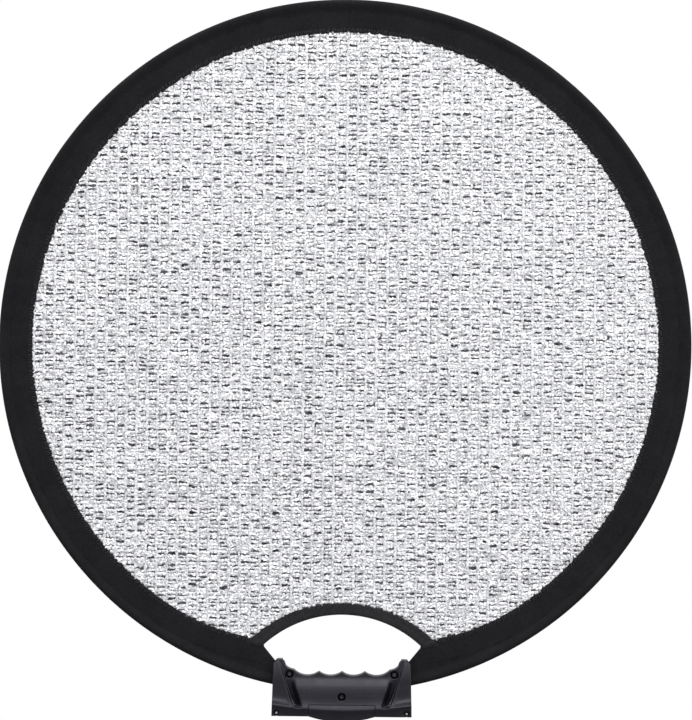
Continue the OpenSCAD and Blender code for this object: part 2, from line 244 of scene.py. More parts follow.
VECTOR, NUMBER = "NodeSocketVector", "NodeSocketFloat"
print("group helper ready")

# %% Woven threads
weave, come, go = shader_group(
    "woven_threads",
    [("Place", VECTOR, None), ("Thread pitch", NUMBER, 0.0006)],
    [("Height", NUMBER), ("Tone", NUMBER)])
turns = calc(weave, "DIVIDE", math.pi, come.outputs["Thread pitch"])
spread = node(weave, "ShaderNodeSeparateXYZ", {0: come.outputs["Place"]})
warp = calc(weave, "SINE", calc(weave, "MULTIPLY", spread.outputs["X"], turns))
weft = calc(weave, "SINE", calc(weave, "MULTIPLY", spread.outputs["Z"], turns))
crossing = calc(weave, "MULTIPLY", warp, weft)
slub = noise(weave, come.outputs["Place"], 420.0, 3.0, 0.7)
cloudy = noise(weave, come.outputs["Place"], 26.0, 4.0)
plug(weave, go.inputs["Height"],
     calc(weave, "ADD", calc(weave, "MULTIPLY", crossing, 0.35), slub.outputs[0]))
plug(weave, go.inputs["Tone"],
     calc(weave, "ADD", calc(weave, "MULTIPLY", slub.outputs[0], 0.6),
          calc(weave, "MULTIPLY", cloudy.outputs[0], 0.4)))
print("woven_threads", len(weave.nodes), "nodes")

# %% Crumpled foil: creases, and a painted glint for each crease facet
foil, come, go = shader_group(
    "foil_creases_and_painted_glints",
    [("Place", VECTOR, None), ("Crease size", NUMBER, 0.0016)],
    [("Height", NUMBER), ("Tone", NUMBER)])
fineness = calc(foil, "DIVIDE", 1.0, come.outputs["Crease size"])
creases = node(foil, "ShaderNodeTexVoronoi", {"Vector": come.outputs["Place"], "Scale": fineness,
                                              "Randomness": 1.0}, feature="F1")
grain = noise(foil, come.outputs["Place"], fineness, 3.0, 0.65)
# Painted glint: each crease facet gets its own lightness, standing in for the light it catches.
painted_facet_glint = node(foil, "ShaderNodeSeparateColor", {0: creases.outputs["Color"]}).outputs[0]
plug(foil, go.inputs["Height"], calc(foil, "ADD", creases.outputs["Distance"], grain.outputs[0]))
plug(foil, go.inputs["Tone"], calc(foil, "MULTIPLY", painted_facet_glint, grain.outputs[0]))
print("foil_creases_and_painted_glints", len(foil.nodes), "nodes")

# %% Fine grain of a moulded or rolled surface
grained, come, go = shader_group(
    "fine_grain",
    [("Place", VECTOR, None), ("Grain size", NUMBER, 0.0004), ("Stretch", VECTOR, (1, 1, 1))],
    [("Height", NUMBER), ("Tone", NUMBER)])
pulled = vec(grained, "MULTIPLY", come.outputs["Place"], come.outputs["Stretch"])
fine = noise(grained, pulled, calc(grained, "DIVIDE", 1.0, come.outputs["Grain size"]), 2.0, 0.6)
broad = noise(grained, pulled, 60.0, 4.0)
plug(grained, go.inputs["Height"], fine.outputs[0])
plug(grained, go.inputs["Tone"],
     calc(grained, "ADD", calc(grained, "MULTIPLY", fine.outputs[0], 0.35),
          calc(grained, "MULTIPLY", broad.outputs[0], 0.65)))
print("fine_grain", len(grained.nodes), "nodes")

# %% Handling marks: thin scratches and a little dust
marks, come, go = shader_group(
    "handling_marks",
    [("Place", VECTOR, None), ("Amount", NUMBER, 0.5)],
    [("Scratch", NUMBER), ("Dust", NUMBER)])
long_way = vec(marks, "MULTIPLY", come.outputs["Place"], (90.0, 500.0, 900.0))
lines = noise(marks, long_way, 1.0, 1.0)
thin = node(marks, "ShaderNodeMapRange", {"Value": lines, "From Min": 0.68, "From Max": 0.74})
specks = noise(marks, come.outputs["Place"], 1600.0, 1.0)
dots = node(marks, "ShaderNodeMapRange", {"Value": specks, "From Min": 0.70, "From Max": 0.76})
plug(marks, go.inputs["Scratch"], calc(marks, "MULTIPLY", thin, come.outputs["Amount"]))
plug(marks, go.inputs["Dust"], calc(marks, "MULTIPLY", dots, come.outputs["Amount"]))
print("handling_marks", len(marks.nodes), "nodes")

# %% [markdown]
# ## Finishes
#
# Every finish is a Principled shader. Numbers that are the same all over sit on
# the shader's own sockets; only what changes over the surface is wired in.

# %% Start a finish
def finish_of(name, **plain):
    """A material with one Principled shader, and its tree."""
    made = bpy.data.materials.new(name)
    made.use_nodes = True
    tree = made.node_tree
    shader = tree.nodes["Principled BSDF"]
    for socket, value in plain.items():
        shader.inputs[socket.replace("_", " ")].default_value = value
    return made, tree, shader


def use(tree, group, **feeds):
    """Places a group in a tree, with its inputs by name."""
    made = node(tree, "ShaderNodeGroup", node_tree=group)
    for name, value in feeds.items():
        plug(tree, made.inputs[name.replace("_", " ")], value)
    return made


def cloth_place(tree):
    """Where each point of a cloth lay before any fold."""
    return node(tree, "ShaderNodeAttribute", attribute_name="rest_place").outputs["Vector"]


def hard_place(tree):
    """Place in the object, for hard pieces."""
    return node(tree, "ShaderNodeTexCoord").outputs["Object"]


def between(tree, factor, low, high):
    """A colour between two colours."""
    mix = node(tree, "ShaderNodeMix", data_type="RGBA")
    for key, value in ((0, factor), (6, low), (7, high)):
        plug(tree, mix.inputs[key], value)
    return mix.outputs[2]


def span(tree, value, low, high, from_low=0.0, from_high=1.0):
    """A number moved from one range to another."""
    return node(tree, "ShaderNodeMapRange", {"Value": value, "From Min": from_low,
                                             "From Max": from_high, "To Min": low,
                                             "To Max": high}).outputs[0]


def raised(tree, shader, height, distance, strength=1.0):
    """Small relief in the shading."""
    bump = node(tree, "ShaderNodeBump", {"Height": height, "Strength": strength,
                                         "Distance": distance})
    plug(tree, shader.inputs["Normal"], bump.outputs[0])


print("finish helpers ready")

# %% Silver tape, with painted glints
silver_tape, tree, shader = finish_of("silver_tape", Metallic=0.6, Specular_IOR_Level=0.6)
effect = use(tree, foil, Place=cloth_place(tree), Crease_size=0.0013)
# Painted glints: the crease facets' lightness from the foil's Tone goes into the colour, for the
# light each facet catches; strand_tone is a random tone per tape cell.
painted_glint = span(tree, effect.outputs["Tone"], 0.0, 1.0, 0.02, 0.36)
strand = node(tree, "ShaderNodeAttribute", attribute_name="strand_tone").outputs["Fac"]
lightness = calc(tree, "ADD", calc(tree, "MULTIPLY", painted_glint, 0.8),
                 calc(tree, "MULTIPLY", strand, 0.2))
plug(tree, shader.inputs["Base Color"],
     between(tree, span(tree, lightness, 0.0, 1.0, 0.0, 0.62), (0.51, 0.51, 0.525, 1),
             (0.985, 0.98, 0.99, 1)))
plug(tree, shader.inputs["Roughness"], span(tree, effect.outputs["Tone"], 0.50, 0.30, 0.0, 0.5))
raised(tree, shader, effect.outputs["Height"], 0.0006, 0.8)

# %% Painted shade sheet between the tapes
painted_shade_sheet, tree, shader = finish_of("painted_shade_sheet", Metallic=0.2, Specular_IOR_Level=0.3)
effect = use(tree, foil, Place=cloth_place(tree), Crease_size=0.0022)
# Painted shade: this dark colour stands for the shade deep in the open knit, mottled by the foil's
# painted glints; the real cloth has no such sheet.
plug(tree, shader.inputs["Base Color"],
     between(tree, span(tree, effect.outputs["Tone"], 0.0, 1.0, 0.05, 0.4),
             (0.020, 0.020, 0.023, 1), (0.13, 0.13, 0.14, 1)))
plug(tree, shader.inputs["Roughness"], span(tree, effect.outputs["Tone"], 0.65, 0.4, 0.0, 0.5))
raised(tree, shader, effect.outputs["Height"], 0.0003, 0.6)

# %% Black cloth, its thread and its serged edge
THREAD_TONES = 0.3, 0.7  # where the weave's tone mostly lies


def woven_black(name, pitch, dark, light, rough, relief, **plain):
    """Black woven cloth, whose colour and gloss follow its threads."""
    made, tree, shader = finish_of(name, **plain)
    effect = use(tree, weave, Place=cloth_place(tree), Thread_pitch=pitch)
    plug(tree, shader.inputs["Base Color"],
         between(tree, span(tree, effect.outputs["Tone"], 0.0, 1.0, *THREAD_TONES),
                 (*dark, 1), (*light, 1)))
    plug(tree, shader.inputs["Roughness"],
         span(tree, effect.outputs["Tone"], *rough, *THREAD_TONES))
    raised(tree, shader, effect.outputs["Height"], *relief)
    return made


black_cloth = woven_black("black_cloth", 0.00055, (0.0055, 0.0054, 0.0064),
                          (0.0115, 0.0113, 0.0130), (0.95, 0.75), (0.00022, 0.8),
                          Specular_IOR_Level=0.16, Sheen_Weight=0.03, Sheen_Roughness=0.45)
binding_tape = woven_black("binding_tape", 0.0009, (0.0100, 0.0098, 0.0112),
                           (0.0260, 0.0255, 0.0285), (0.9, 0.65), (0.0003, 0.9),
                           Specular_IOR_Level=0.2, Sheen_Weight=0.05, Sheen_Roughness=0.4)

sewing_thread, tree, shader = finish_of("sewing_thread", Specular_IOR_Level=0.35,
                                        Sheen_Weight=0.05)
effect = use(tree, grained, Place=cloth_place(tree), Grain_size=0.0003, Stretch=(1, 1, 1))
plug(tree, shader.inputs["Base Color"],
     between(tree, effect.outputs["Tone"], (0.008, 0.008, 0.010, 1), (0.040, 0.039, 0.042, 1)))
plug(tree, shader.inputs["Roughness"], span(tree, effect.outputs["Tone"], 0.75, 0.5))
raised(tree, shader, effect.outputs["Height"], 0.0001, 0.8)

# %% Moulded black plastic
moulded_black, tree, shader = finish_of("moulded_black", Specular_IOR_Level=0.385,
                                       Specular_Tint=(0.93, 0.91, 1.0, 1))
place = hard_place(tree)
effect = use(tree, grained, Place=place, Grain_size=0.00035, Stretch=(1, 1, 1))
worn = use(tree, marks, Place=place, Amount=0.6)
skin = between(tree, effect.outputs["Tone"], (0.0051, 0.0048, 0.0070, 1),
               (0.0113, 0.0104, 0.0150, 1))
plug(tree, shader.inputs["Base Color"],
     between(tree, worn.outputs["Dust"], skin, (0.10, 0.10, 0.11, 1)))
plug(tree, shader.inputs["Roughness"],
     calc(tree, "ADD", span(tree, effect.outputs["Tone"], 0.30, 0.52, 0.3, 0.7),
          calc(tree, "MULTIPLY", worn.outputs["Scratch"], 0.2)))
raised(tree, shader, effect.outputs["Height"], 0.00012, 0.7)

# %% Metals
def metal(name, dark, light, rough_low, rough_high, stretch, scratch):
    """A turned or rolled metal with its own grain direction."""
    made, tree, shader = finish_of(name, Metallic=1.0)
    place = hard_place(tree)
    effect = use(tree, grained, Place=place, Grain_size=0.0003, Stretch=stretch)
    worn = use(tree, marks, Place=place, Amount=scratch)
    plug(tree, shader.inputs["Base Color"],
         between(tree, effect.outputs["Tone"], (*dark, 1), (*light, 1)))
    plug(tree, shader.inputs["Roughness"],
         calc(tree, "ADD", span(tree, effect.outputs["Tone"], rough_low, rough_high),
              calc(tree, "MULTIPLY", worn.outputs["Scratch"], 0.25)))
    raised(tree, shader, effect.outputs["Height"], 0.00006, 0.5)
    return made


EVEN = (1, 1, 1)
spring_steel = metal("spring_steel", (0.22, 0.23, 0.25), (0.42, 0.43, 0.46), 0.22, 0.42,
                     (0.2, 1, 0.2), 0.8)
nickel = metal("nickel_plate", (0.55, 0.54, 0.52), (0.86, 0.85, 0.82), 0.12, 0.30, EVEN, 0.4)
black_oxide = metal("black_oxide", (0.035, 0.035, 0.04), (0.10, 0.10, 0.11), 0.30, 0.45, EVEN, 0.6)
brass = metal("socket_brass", (0.55, 0.38, 0.15), (0.85, 0.64, 0.30), 0.18, 0.35, EVEN, 0.5)

# %% Floor paint
floor_paint, tree, shader = finish_of("floor_paint", Specular_IOR_Level=0.2, Roughness=0.8)
effect = use(tree, grained, Place=hard_place(tree), Grain_size=0.02, Stretch=(1, 1, 1))
seen = node(tree, "ShaderNodeLightPath").outputs["Is Camera Ray"]
away_out = node(tree, "ShaderNodeVectorMath", {0: hard_place(tree)},
                operation="LENGTH").outputs["Value"]
fade = span(tree, away_out, 0.0, 1.0, 0.8, FLOOR_R)
pale = between(tree, effect.outputs["Tone"], (0.60, 0.60, 0.61, 1), (0.64, 0.64, 0.645, 1))
pale = between(tree, fade, pale, (0.9, 0.9, 0.9, 1))
plug(tree, shader.inputs["Base Color"], between(tree, seen, (0.20, 0.20, 0.21, 1), pale))
floor.data.materials.append(floor_paint)
print("finishes", len(bpy.data.materials))

# %% [markdown]
# ## A painted shade sheet behind the silver cloth
#
# The real cloth is an open warp knit of thin metallised tape. The shade deep in
# it, below the tapes that catch the light, is painted: one thin dark sheet is
# stretched in the hoop where there is only shade, cut round with an arched bite
# for the hand. It could be a filled circle, but it is laid out in upright
# columns, each from the lower edge to the upper edge. It is made in two halves
# that meet at the middle.

# %% Outline of the cloth
TUCK = 5.5 * MM  # how far the cloth runs under the rim
CLOTH_R = RIM_IN + TUCK
ARCH_R, ARCH_Z = 100.4 * MM, DISC_Z - 333.6 * MM  # edge of the hand opening
TAPE_R, TAPE_Z = 115.2 * MM, DISC_Z - 338.25 * MM  # upper edge of its tape
OPEN_X = 68.4 * MM  # corner of the hand opening


def rim_inner(turn):
    """Inner radius of the rim at a turn from the lowest point: wider near the handle."""
    near = np.clip((math.radians(33.5) - np.abs(turn)) / math.radians(17), 0, 1)
    return RIM_IN - 5.6 * MM * near**1.5


def cloth_low(x):
    """Lower edge of the silver cloth: the arch where it is, or the rim."""
    round_edge = DISC_Z - np.sqrt(np.maximum(CLOTH_R**2 - x**2, 0))
    inside = np.maximum((ARCH_R + 3 * MM) ** 2 - x**2, 0)
    return np.maximum(round_edge, np.where(inside > 0, ARCH_Z + np.sqrt(inside), -1))


def cloth_high(x):
    """Upper edge of the silver cloth."""
    return DISC_Z + np.sqrt(np.maximum(CLOTH_R**2 - x**2, 0))


def mesh_object(name, points, faces, finish):
    """A smooth mesh object in the scene, with its finish and its resting place stored."""
    data = mesh_of(name, points, faces)
    data.materials.append(finish)
    data.polygons.foreach_set("use_smooth", [True] * len(data.polygons))
    keep_rest_place(data)
    return placed(name, data)


def keep_rest_place(data):
    """Stores where every point lies now, for patterns that follow the cloth."""
    here = np.zeros(len(data.vertices) * 3, np.float32)
    data.vertices.foreach_get("co", here)
    if "rest_place" not in data.attributes:
        data.attributes.new("rest_place", "FLOAT_VECTOR", "POINT")
    data.attributes["rest_place"].data.foreach_set("vector", here)


print("cloth radius", CLOTH_R, "lowest at the middle", round(float(cloth_low(np.array(0.0))), 4))

# %% Painted shade sheets
SHADE_SHEET_HALF = 0.2 * MM
COLUMNS, ROWS = 96, 110


def grid_quads(columns, rows):
    """The faces of a grid of points, column after column."""
    i, j = np.arange(columns - 1)[:, None], np.arange(rows - 1)[None, :]
    a = i * rows + j
    return np.stack([a, a + rows, a + rows + 1, a + 1], -1)


def two_skins(quads, count):
    """Faces of a skin, and the same turned over for the points after it."""
    return [tuple(q) for q in quads] + [tuple(q[::-1] + count) for q in quads]


def shade_sheet_half(name, side):
    """One half of the painted shade sheet: two faces and a closed edge."""
    turn = np.linspace(0, math.pi / 2, COLUMNS)
    x = side * (CLOTH_R - 0.4 * MM) * np.sin(turn)
    low, high = cloth_low(x), cloth_high(x)
    share = np.linspace(0, 1, ROWS)
    z = low[:, None] + (high - low)[:, None] * share[None, :]
    grid = np.stack([np.broadcast_to(x[:, None], z.shape), np.zeros_like(z), z], -1)
    front, back = grid.copy(), grid.copy()
    front[..., 1], back[..., 1] = -SHADE_SHEET_HALF, SHADE_SHEET_HALF
    points = np.concatenate([front.reshape(-1, 3), back.reshape(-1, 3)])
    n = COLUMNS * ROWS
    quads = grid_quads(COLUMNS, ROWS).reshape(-1, 4)
    if side < 0:
        quads = quads[:, ::-1]
    faces = two_skins(quads, n)
    line = np.arange(n).reshape(COLUMNS, ROWS)
    edge = [*line[:, 0], *line[-1, 1:], *line[-2::-1, -1], *line[0, -2:0:-1]]
    if side < 0:
        edge = edge[::-1]
    for p, q in zip(edge, edge[1:] + edge[:1]):
        faces.append((q, p, p + n, q + n))
    return mesh_object(name, points, faces, painted_shade_sheet)


shade_sheets = {name: shade_sheet_half("cloth_ground_" + name, side) for name, side in SIDES}
print("ground faces", [len(g.data.polygons) for g in shade_sheets.values()])

# %% [markdown]
# ## The knitted tapes
#
# On the loom a flat metallised tape is laid back and forth between upright
# chains of stitches, row after row, and it crumples as it is pulled in. Each
# face has nearly eight thousand such cells, so no one models them by hand: one
# cell of tape and one stitch of the chain are drawn once, and Geometry Nodes
# set them out on a grid, turn and stretch each by a small random amount,
# crumple the lot with noise, and drop what falls outside the cloth's outline.

# %% One cell of tape and one chain stitch
WALE = 9.0 * MM  # distance between the upright chains
COURSE = 3.25 * MM  # distance between rows


def patch(name, columns, rows, shape):
    """A small patch from a rule that gives a point for u and v from -1 to 1."""
    u, v = np.linspace(-1, 1, columns), np.linspace(-1, 1, rows)
    points = [shape(a, b) for a in u for b in v]
    faces = grid_quads(columns, rows).reshape(-1, 4)
    return bpy.data.objects.new(name, mesh_of(name, points, faces))


def tape_shape(u, v):
    """A tape that bows up and out between two chains, gathered at its ends."""
    belly = math.cos(u * math.pi / 2)
    lobe = 0.5 - 0.5 * math.cos(2 * math.pi * u)
    half = (0.93 + 0.36 * belly**0.7 + 0.28 * lobe) * MM
    rise = (0.26 * belly + 0.2 * lobe) * MM
    out = (0.55 + 0.4 * belly + 0.25 * lobe - 0.30 * v * v) * MM
    return (u * 0.53 * WALE, -out, rise + v * half)


def stitch_shape(u, v):
    """A broad loop of the chain, widest in the middle."""
    wide = (0.75 + 0.75 * math.cos(v * math.pi / 2)) * MM
    out = (1.15 + 0.5 * (1 - u * u) + 0.2 * v) * MM
    return (u * wide + 0.2 * MM * v, -out, v * 0.60 * COURSE)


tape_cell = patch("tape_cell", 10, 3, tape_shape)
chain_stitch = patch("chain_stitch", 4, 4, stitch_shape)
print("cell faces", len(tape_cell.data.polygons), len(chain_stitch.data.polygons))

# %% The knitting tree
def node_tree(name, inputs):
    """An empty Geometry Nodes tree with named inputs."""
    tree = bpy.data.node_groups.new(name, "GeometryNodeTree")
    tree.is_modifier = True
    tree.interface.new_socket(name="Geometry", in_out="INPUT", socket_type="NodeSocketGeometry")
    for label, kind in inputs:
        tree.interface.new_socket(name=label, in_out="INPUT", socket_type=kind)
    tree.interface.new_socket(name="Geometry", in_out="OUTPUT", socket_type="NodeSocketGeometry")
    return tree, node(tree, "NodeGroupInput").outputs, node(tree, "NodeGroupOutput").inputs


def chance(tree, low, high, seed, kind="FLOAT"):
    """A random number or vector for each point."""
    return node(tree, "FunctionNodeRandomValue", {"Min": low, "Max": high, "Seed": seed},
                data_type=kind)


def jitter(tree, seed):
    """A random vector from -1 to 1 each way."""
    return chance(tree, (-1, -1, -1), (1, 1, 1), seed, "FLOAT_VECTOR").outputs[0]


def shape_in(tree, thing):
    """The shape of an object that is given to the tree."""
    return node(tree, "GeometryNodeObjectInfo", {"Object": thing}).outputs["Geometry"]


FLOAT, COUNT, THING, STUFF = ("NodeSocketFloat", "NodeSocketInt", "NodeSocketObject",
                              "NodeSocketMaterial")
knitting, given, made = node_tree("knitting", [
    ("Cell", THING), ("Column pitch", FLOAT), ("Row pitch", FLOAT), ("Columns", COUNT),
    ("Rows", COUNT), ("Shift", FLOAT), ("Side", FLOAT), ("Face turn", FLOAT),
    ("Cloth radius", FLOAT), ("Disc height", FLOAT), ("Arch radius", FLOAT),
    ("Arch height", FLOAT), ("Stretch least", VECTOR), ("Stretch most", VECTOR),
    ("Tilt", FLOAT), ("Narrow cells", FLOAT), ("Alternate", FLOAT), ("Wander", VECTOR),
    ("Crumple", FLOAT), ("Seed", COUNT), ("Finish", STUFF)])
t = knitting
width = calc(t, "MULTIPLY", given["Column pitch"], calc(t, "SUBTRACT", given["Columns"], 1.0))
tall = calc(t, "MULTIPLY", given["Row pitch"], calc(t, "SUBTRACT", given["Rows"], 1.0))
lattice = node(t, "GeometryNodeMeshGrid", {"Size X": width, "Size Y": tall,
                                           "Vertices X": given["Columns"],
                                           "Vertices Y": given["Rows"]})
stood = node(t, "GeometryNodeTransform", {
    "Geometry": lattice.outputs["Mesh"], "Rotation": (math.pi / 2, 0, 0),
    "Translation": xyz(t, given["Shift"], 0.0, given["Disc height"])})
spots = node(t, "GeometryNodeMeshToPoints", {"Mesh": stood})
here = node(t, "ShaderNodeSeparateXYZ", {0: node(t, "GeometryNodeInputPosition")})
x, z = here.outputs["X"], here.outputs["Z"]


def away(tree, x, z, height):
    """Distance from a centre on the middle line."""
    up = calc(tree, "SUBTRACT", z, height)
    return calc(tree, "SQRT", calc(tree, "ADD", calc(tree, "MULTIPLY", x, x),
                                   calc(tree, "MULTIPLY", up, up)))


outside = calc(t, "GREATER_THAN", away(t, x, z, given["Disc height"]), given["Cloth radius"])
in_arch = calc(t, "LESS_THAN", away(t, x, z, given["Arch height"]), given["Arch radius"])
wrong_side = calc(t, "LESS_THAN", calc(t, "MULTIPLY", x, given["Side"]),
                  calc(t, "MULTIPLY", given["Side"], -0.0001))
drop = calc(t, "MAXIMUM", calc(t, "MAXIMUM", outside, in_arch), wrong_side)
kept = node(t, "GeometryNodeDeleteGeometry", {
    "Geometry": spots, "Selection": calc(t, "GREATER_THAN", drop, 0.5)}, domain="POINT")
most_tilt = xyz(t, given["Tilt"], calc(t, "MULTIPLY", given["Tilt"], 0.8),
                calc(t, "MULTIPLY", given["Tilt"], 0.5))
turned = vec(t, "ADD", vec(t, "MULTIPLY", jitter(t, given["Seed"]), most_tilt),
             xyz(t, z=given["Face turn"]))
size = chance(t, given["Stretch least"], given["Stretch most"],
              calc(t, "ADD", given["Seed"], 1.0), "FLOAT_VECTOR")
rarely = calc(t, "POWER",
              chance(t, 0.0, 1.0, calc(t, "ADD", given["Seed"], 3.0)).outputs[1], 4.0)
course = calc(t, "DIVIDE", calc(t, "SUBTRACT", z, given["Disc height"]), given["Row pitch"])
every_other = calc(t, "COSINE", calc(t, "MULTIPLY", calc(t, "ADD", course, 0.5), math.pi))
uneven = calc(t, "MULTIPLY", given["Narrow cells"],
              calc(t, "SUBTRACT", 1.0, calc(t, "MULTIPLY", x, 1.1)))
thinner = calc(t, "SUBTRACT", calc(t, "SUBTRACT", 1.0, calc(t, "MULTIPLY", rarely, uneven)),
               calc(t, "MULTIPLY", every_other, given["Alternate"]))
size = vec(t, "MULTIPLY", size.outputs[0], xyz(t, 1.0, 1.0, thinner))
strayed = node(t, "GeometryNodeSetPosition", {
    "Geometry": kept,
    "Offset": vec(t, "MULTIPLY", given["Wander"], jitter(t, calc(t, "ADD", given["Seed"], 4.0)))})
set_out = node(t, "GeometryNodeInstanceOnPoints", {
    "Points": strayed, "Instance": shape_in(t, given["Cell"]), "Rotation": turned,
    "Scale": size})
toned = node(t, "GeometryNodeStoreNamedAttribute", {
    "Geometry": set_out, "Name": "strand_tone",
    "Value": chance(t, 0.0, 1.0, calc(t, "ADD", given["Seed"], 2.0))},
    data_type="FLOAT", domain="INSTANCE")
joined = node(t, "GeometryNodeRealizeInstances", {"Geometry": toned})
crumple = noise(t, node(t, "GeometryNodeInputPosition"), 820.0, 2.0, 0.6)
about = vec(t, "SUBTRACT", crumple.outputs["Color"], (0.5, 0.5, 0.5))
shaken = node(t, "GeometryNodeSetPosition", {
    "Geometry": joined,
    "Offset": vec(t, "MULTIPLY", about, xyz(t, *[given["Crumple"]] * 3))})
plug(t, made[0],
     node(t, "GeometryNodeSetMaterial", {"Geometry": shaken, "Material": given["Finish"]}))
print("knitting", len(t.nodes), "nodes")

# %% Run a tree and keep its result as a plain mesh
def grown(name, tree, values, smooth=False):
    """Runs a tree on an empty object and returns the result as a plain mesh object."""
    carrier = placed(name + "_carrier", bpy.data.meshes.new(name + "_carrier"))
    modifier = carrier.modifiers.new("grow", "NODES")
    modifier.node_group = tree
    for item in tree.interface.items_tree:
        if item.item_type == "SOCKET" and item.in_out == "INPUT" and item.name in values:
            modifier[item.identifier] = values[item.name]
    depsgraph = bpy.context.evaluated_depsgraph_get()
    data = bpy.data.meshes.new_from_object(carrier.evaluated_get(depsgraph))
    carrier.modifiers.remove(modifier)
    bpy.data.objects.remove(carrier)
    data.name = name
    data.polygons.foreach_set("use_smooth", [smooth] * len(data.polygons))
    keep_rest_place(data)
    return placed(name, data)


def dive(data, side):
    """Where tape meets the rim or the opening's tape it dips under the cloth edge."""
    count = len(data.vertices)
    co = np.zeros(count * 3, np.float32)
    data.vertices.foreach_get("co", co)
    co = co.reshape(-1, 3)
    x, z = co[:, 0], co[:, 2] - DISC_Z
    wander = (1.1 * MM * np.sin(z * 1650 + 1.6 * np.sin(x * 500))
              + 0.8 * MM * np.sin(x * 1500 + z * 700))
    past_rim = np.hypot(x, z) - (rim_inner(np.arctan2(x, -z)) + 0.2 * MM + wander)
    past_tape = (TAPE_R - 0.4 * MM + wander * 0.5) - np.hypot(x, co[:, 2] - TAPE_Z)
    past = np.maximum(past_rim, past_tape)
    room = np.clip(1.9 * MM - past * 1.6, 0.35 * MM, None)
    deep = np.minimum(np.abs(co[:, 1]), room)
    co[:, 1] = side * deep
    data.vertices.foreach_set("co", co.ravel())
    data.update()
    keep_rest_place(data)


common = {"Column pitch": WALE, "Disc height": DISC_Z, "Cloth radius": RIM_IN + 2.2 * MM,
          "Arch radius": TAPE_R - 1.5 * MM, "Arch height": TAPE_Z, "Finish": silver_tape,
          "Row pitch": COURSE, "Rows": 172, "Shift": 0.0}
tapes = {**common, "Cell": tape_cell, "Columns": 62, "Tilt": 0.17, "Crumple": 4.2 * MM,
         "Narrow cells": 0.36,
         "Alternate": 0.06, "Wander": (0.5 * MM, 0.0, 0.75 * MM),
         "Stretch least": (0.94, 0.6, 0.94), "Stretch most": (1.05, 1.35, 1.22)}
chains = {**common, "Cell": chain_stitch, "Columns": 63, "Tilt": 0.2, "Crumple": 1.6 * MM,
          "Narrow cells": 0.0,
          "Alternate": 0.0, "Wander": (0.35 * MM, 0.0, 0.5 * MM),
          "Stretch least": (0.7, 0.8, 0.8), "Stretch most": (1.3, 1.15, 1.15)}
knit = {}


def triangles(pieces):
    """How many triangles each piece has."""
    return {p.name: sum(len(f.vertices) - 2 for f in p.data.polygons) for p in pieces}


for side_name, side in SIDES:
    for face_name, y_side in FACES:
        turn = math.pi if y_side > 0 else 0.0
        parts = []
        for kind, values, seed in (("tape", tapes, 11), ("chain", chains, 23)):
            piece = grown(f"knit_{kind}_{face_name}_{side_name}", knitting,
                          {**values, "Side": float(side), "Face turn": turn,
                           "Seed": seed + 5 * (y_side > 0) + int(side > 0)})
            dive(piece.data, y_side)
            parts.append(piece)
        knit[side_name, face_name] = parts
print("knit triangles", triangles(p for parts in knit.values() for p in parts))

# %% [markdown]
# ## The rim sleeve
#
# The rim is one strip of black cloth folded over the spring band and sewn to
# the silver cloth on both faces. Swept tubes or curves with a bevel would give
# an even doughnut. Here two edges are drawn instead, the fold and the sewn
# edge, and a section of real cloth thickness is stretched between them, so the
# strip can widen where it runs down to the handle, and can pucker.

# %% A strip between a sewn edge and a fold
def strip(name, sewn, fold, section, blend_from, finish, pucker):
    """Sweeps a closed section between two edges, each a list of x and z."""
    sewn, fold = np.asarray(sewn), np.asarray(fold)
    section = np.asarray(section)
    full = section[:, 0].max()
    across = sewn - fold
    width = np.linalg.norm(across, axis=1)
    unit = across / width[:, None]
    given_way = np.clip((section[:, 0] - blend_from) / (full - blend_from), 0, 1)
    reach = section[None, :, 0] + given_way[None, :] * (width[:, None] - full)
    xz = fold[:, None, :] + unit[:, None, :] * reach[..., None]
    depth = section[None, :, 1] + pucker(xz[..., 0], xz[..., 1], section[None, :, 1], reach)
    points = np.stack([xz[..., 0], -depth, xz[..., 1]], -1)
    n, m = points.shape[:2]
    i, j = np.arange(n - 1)[:, None], np.arange(m)[None, :]
    k = (j + 1) % m
    quads = np.stack([i * m + j, i * m + k, (i + 1) * m + k, (i + 1) * m + j], -1).reshape(-1, 4)
    faces = [tuple(q) for q in quads] + [tuple(range(m))[::-1], tuple(range((n - 1) * m, n * m))]
    made = mesh_object(name, points.reshape(-1, 3), faces, finish)
    tidy_normals(made.data)
    return made


def tidy_normals(data):
    """Drops points that no face uses and turns a closed shape's faces outward."""
    work = bmesh.new()
    work.from_mesh(data)
    bmesh.ops.delete(work, geom=[v for v in work.verts if not v.link_faces], context="VERTS")
    bmesh.ops.recalc_face_normals(work, faces=work.faces)
    work.to_mesh(data)
    work.free()


def both_faces(outer, inner):
    """A folded strip's section: outer skin front to back, then the inner skin."""
    flip = [(a, -d) for a, d in reversed(outer)][1:]
    back_in = [(a, -d) for a, d in inner]
    front_in = [(a, d) for a, d in reversed(inner)][1:]
    return [(a * MM, d * MM) for a, d in outer + flip + back_in + front_in]


SLEEVE_OUTER = [(29.0, 0.92), (28.8, 1.16), (28.2, 1.34), (26.5, 1.42), (24.0, 1.50), (20.0, 1.60),
                (15.0, 1.72), (11.8, 1.78), (10.6, 1.76), (10.0, 1.76), (9.4, 1.84), (8.2, 2.30),
                (6.4, 3.10), (4.6, 3.68), (3.0, 3.85), (1.7, 3.45), (0.8, 2.55), (0.25, 1.35),
                (0.0, 0.0)]
SLEEVE_INNER = [(29.0, 0.58), (26.0, 0.62), (20.0, 0.75), (12.0, 0.95), (9.6, 1.10), (8.0, 1.85),
                (6.2, 2.65), (4.6, 3.20), (3.0, 3.35), (1.95, 2.95), (1.2, 2.1),
                (0.7, 1.0), (0.55, 0.0)]
# both skins run from the sewn edge to the fold
sleeve_section = both_faces(SLEEVE_OUTER, SLEEVE_INNER)
print("sleeve section", len(sleeve_section), "points")

# %% The two edges of the rim
ENTRY_X = HANDLE_HALF - 3.5 * MM  # where the cloth ends inside the handle
ENTRY_Z = DISC_Z - 275.0 * MM
CORNER_Z = DISC_Z - 260.4 * MM


RIM_STEPS = 420


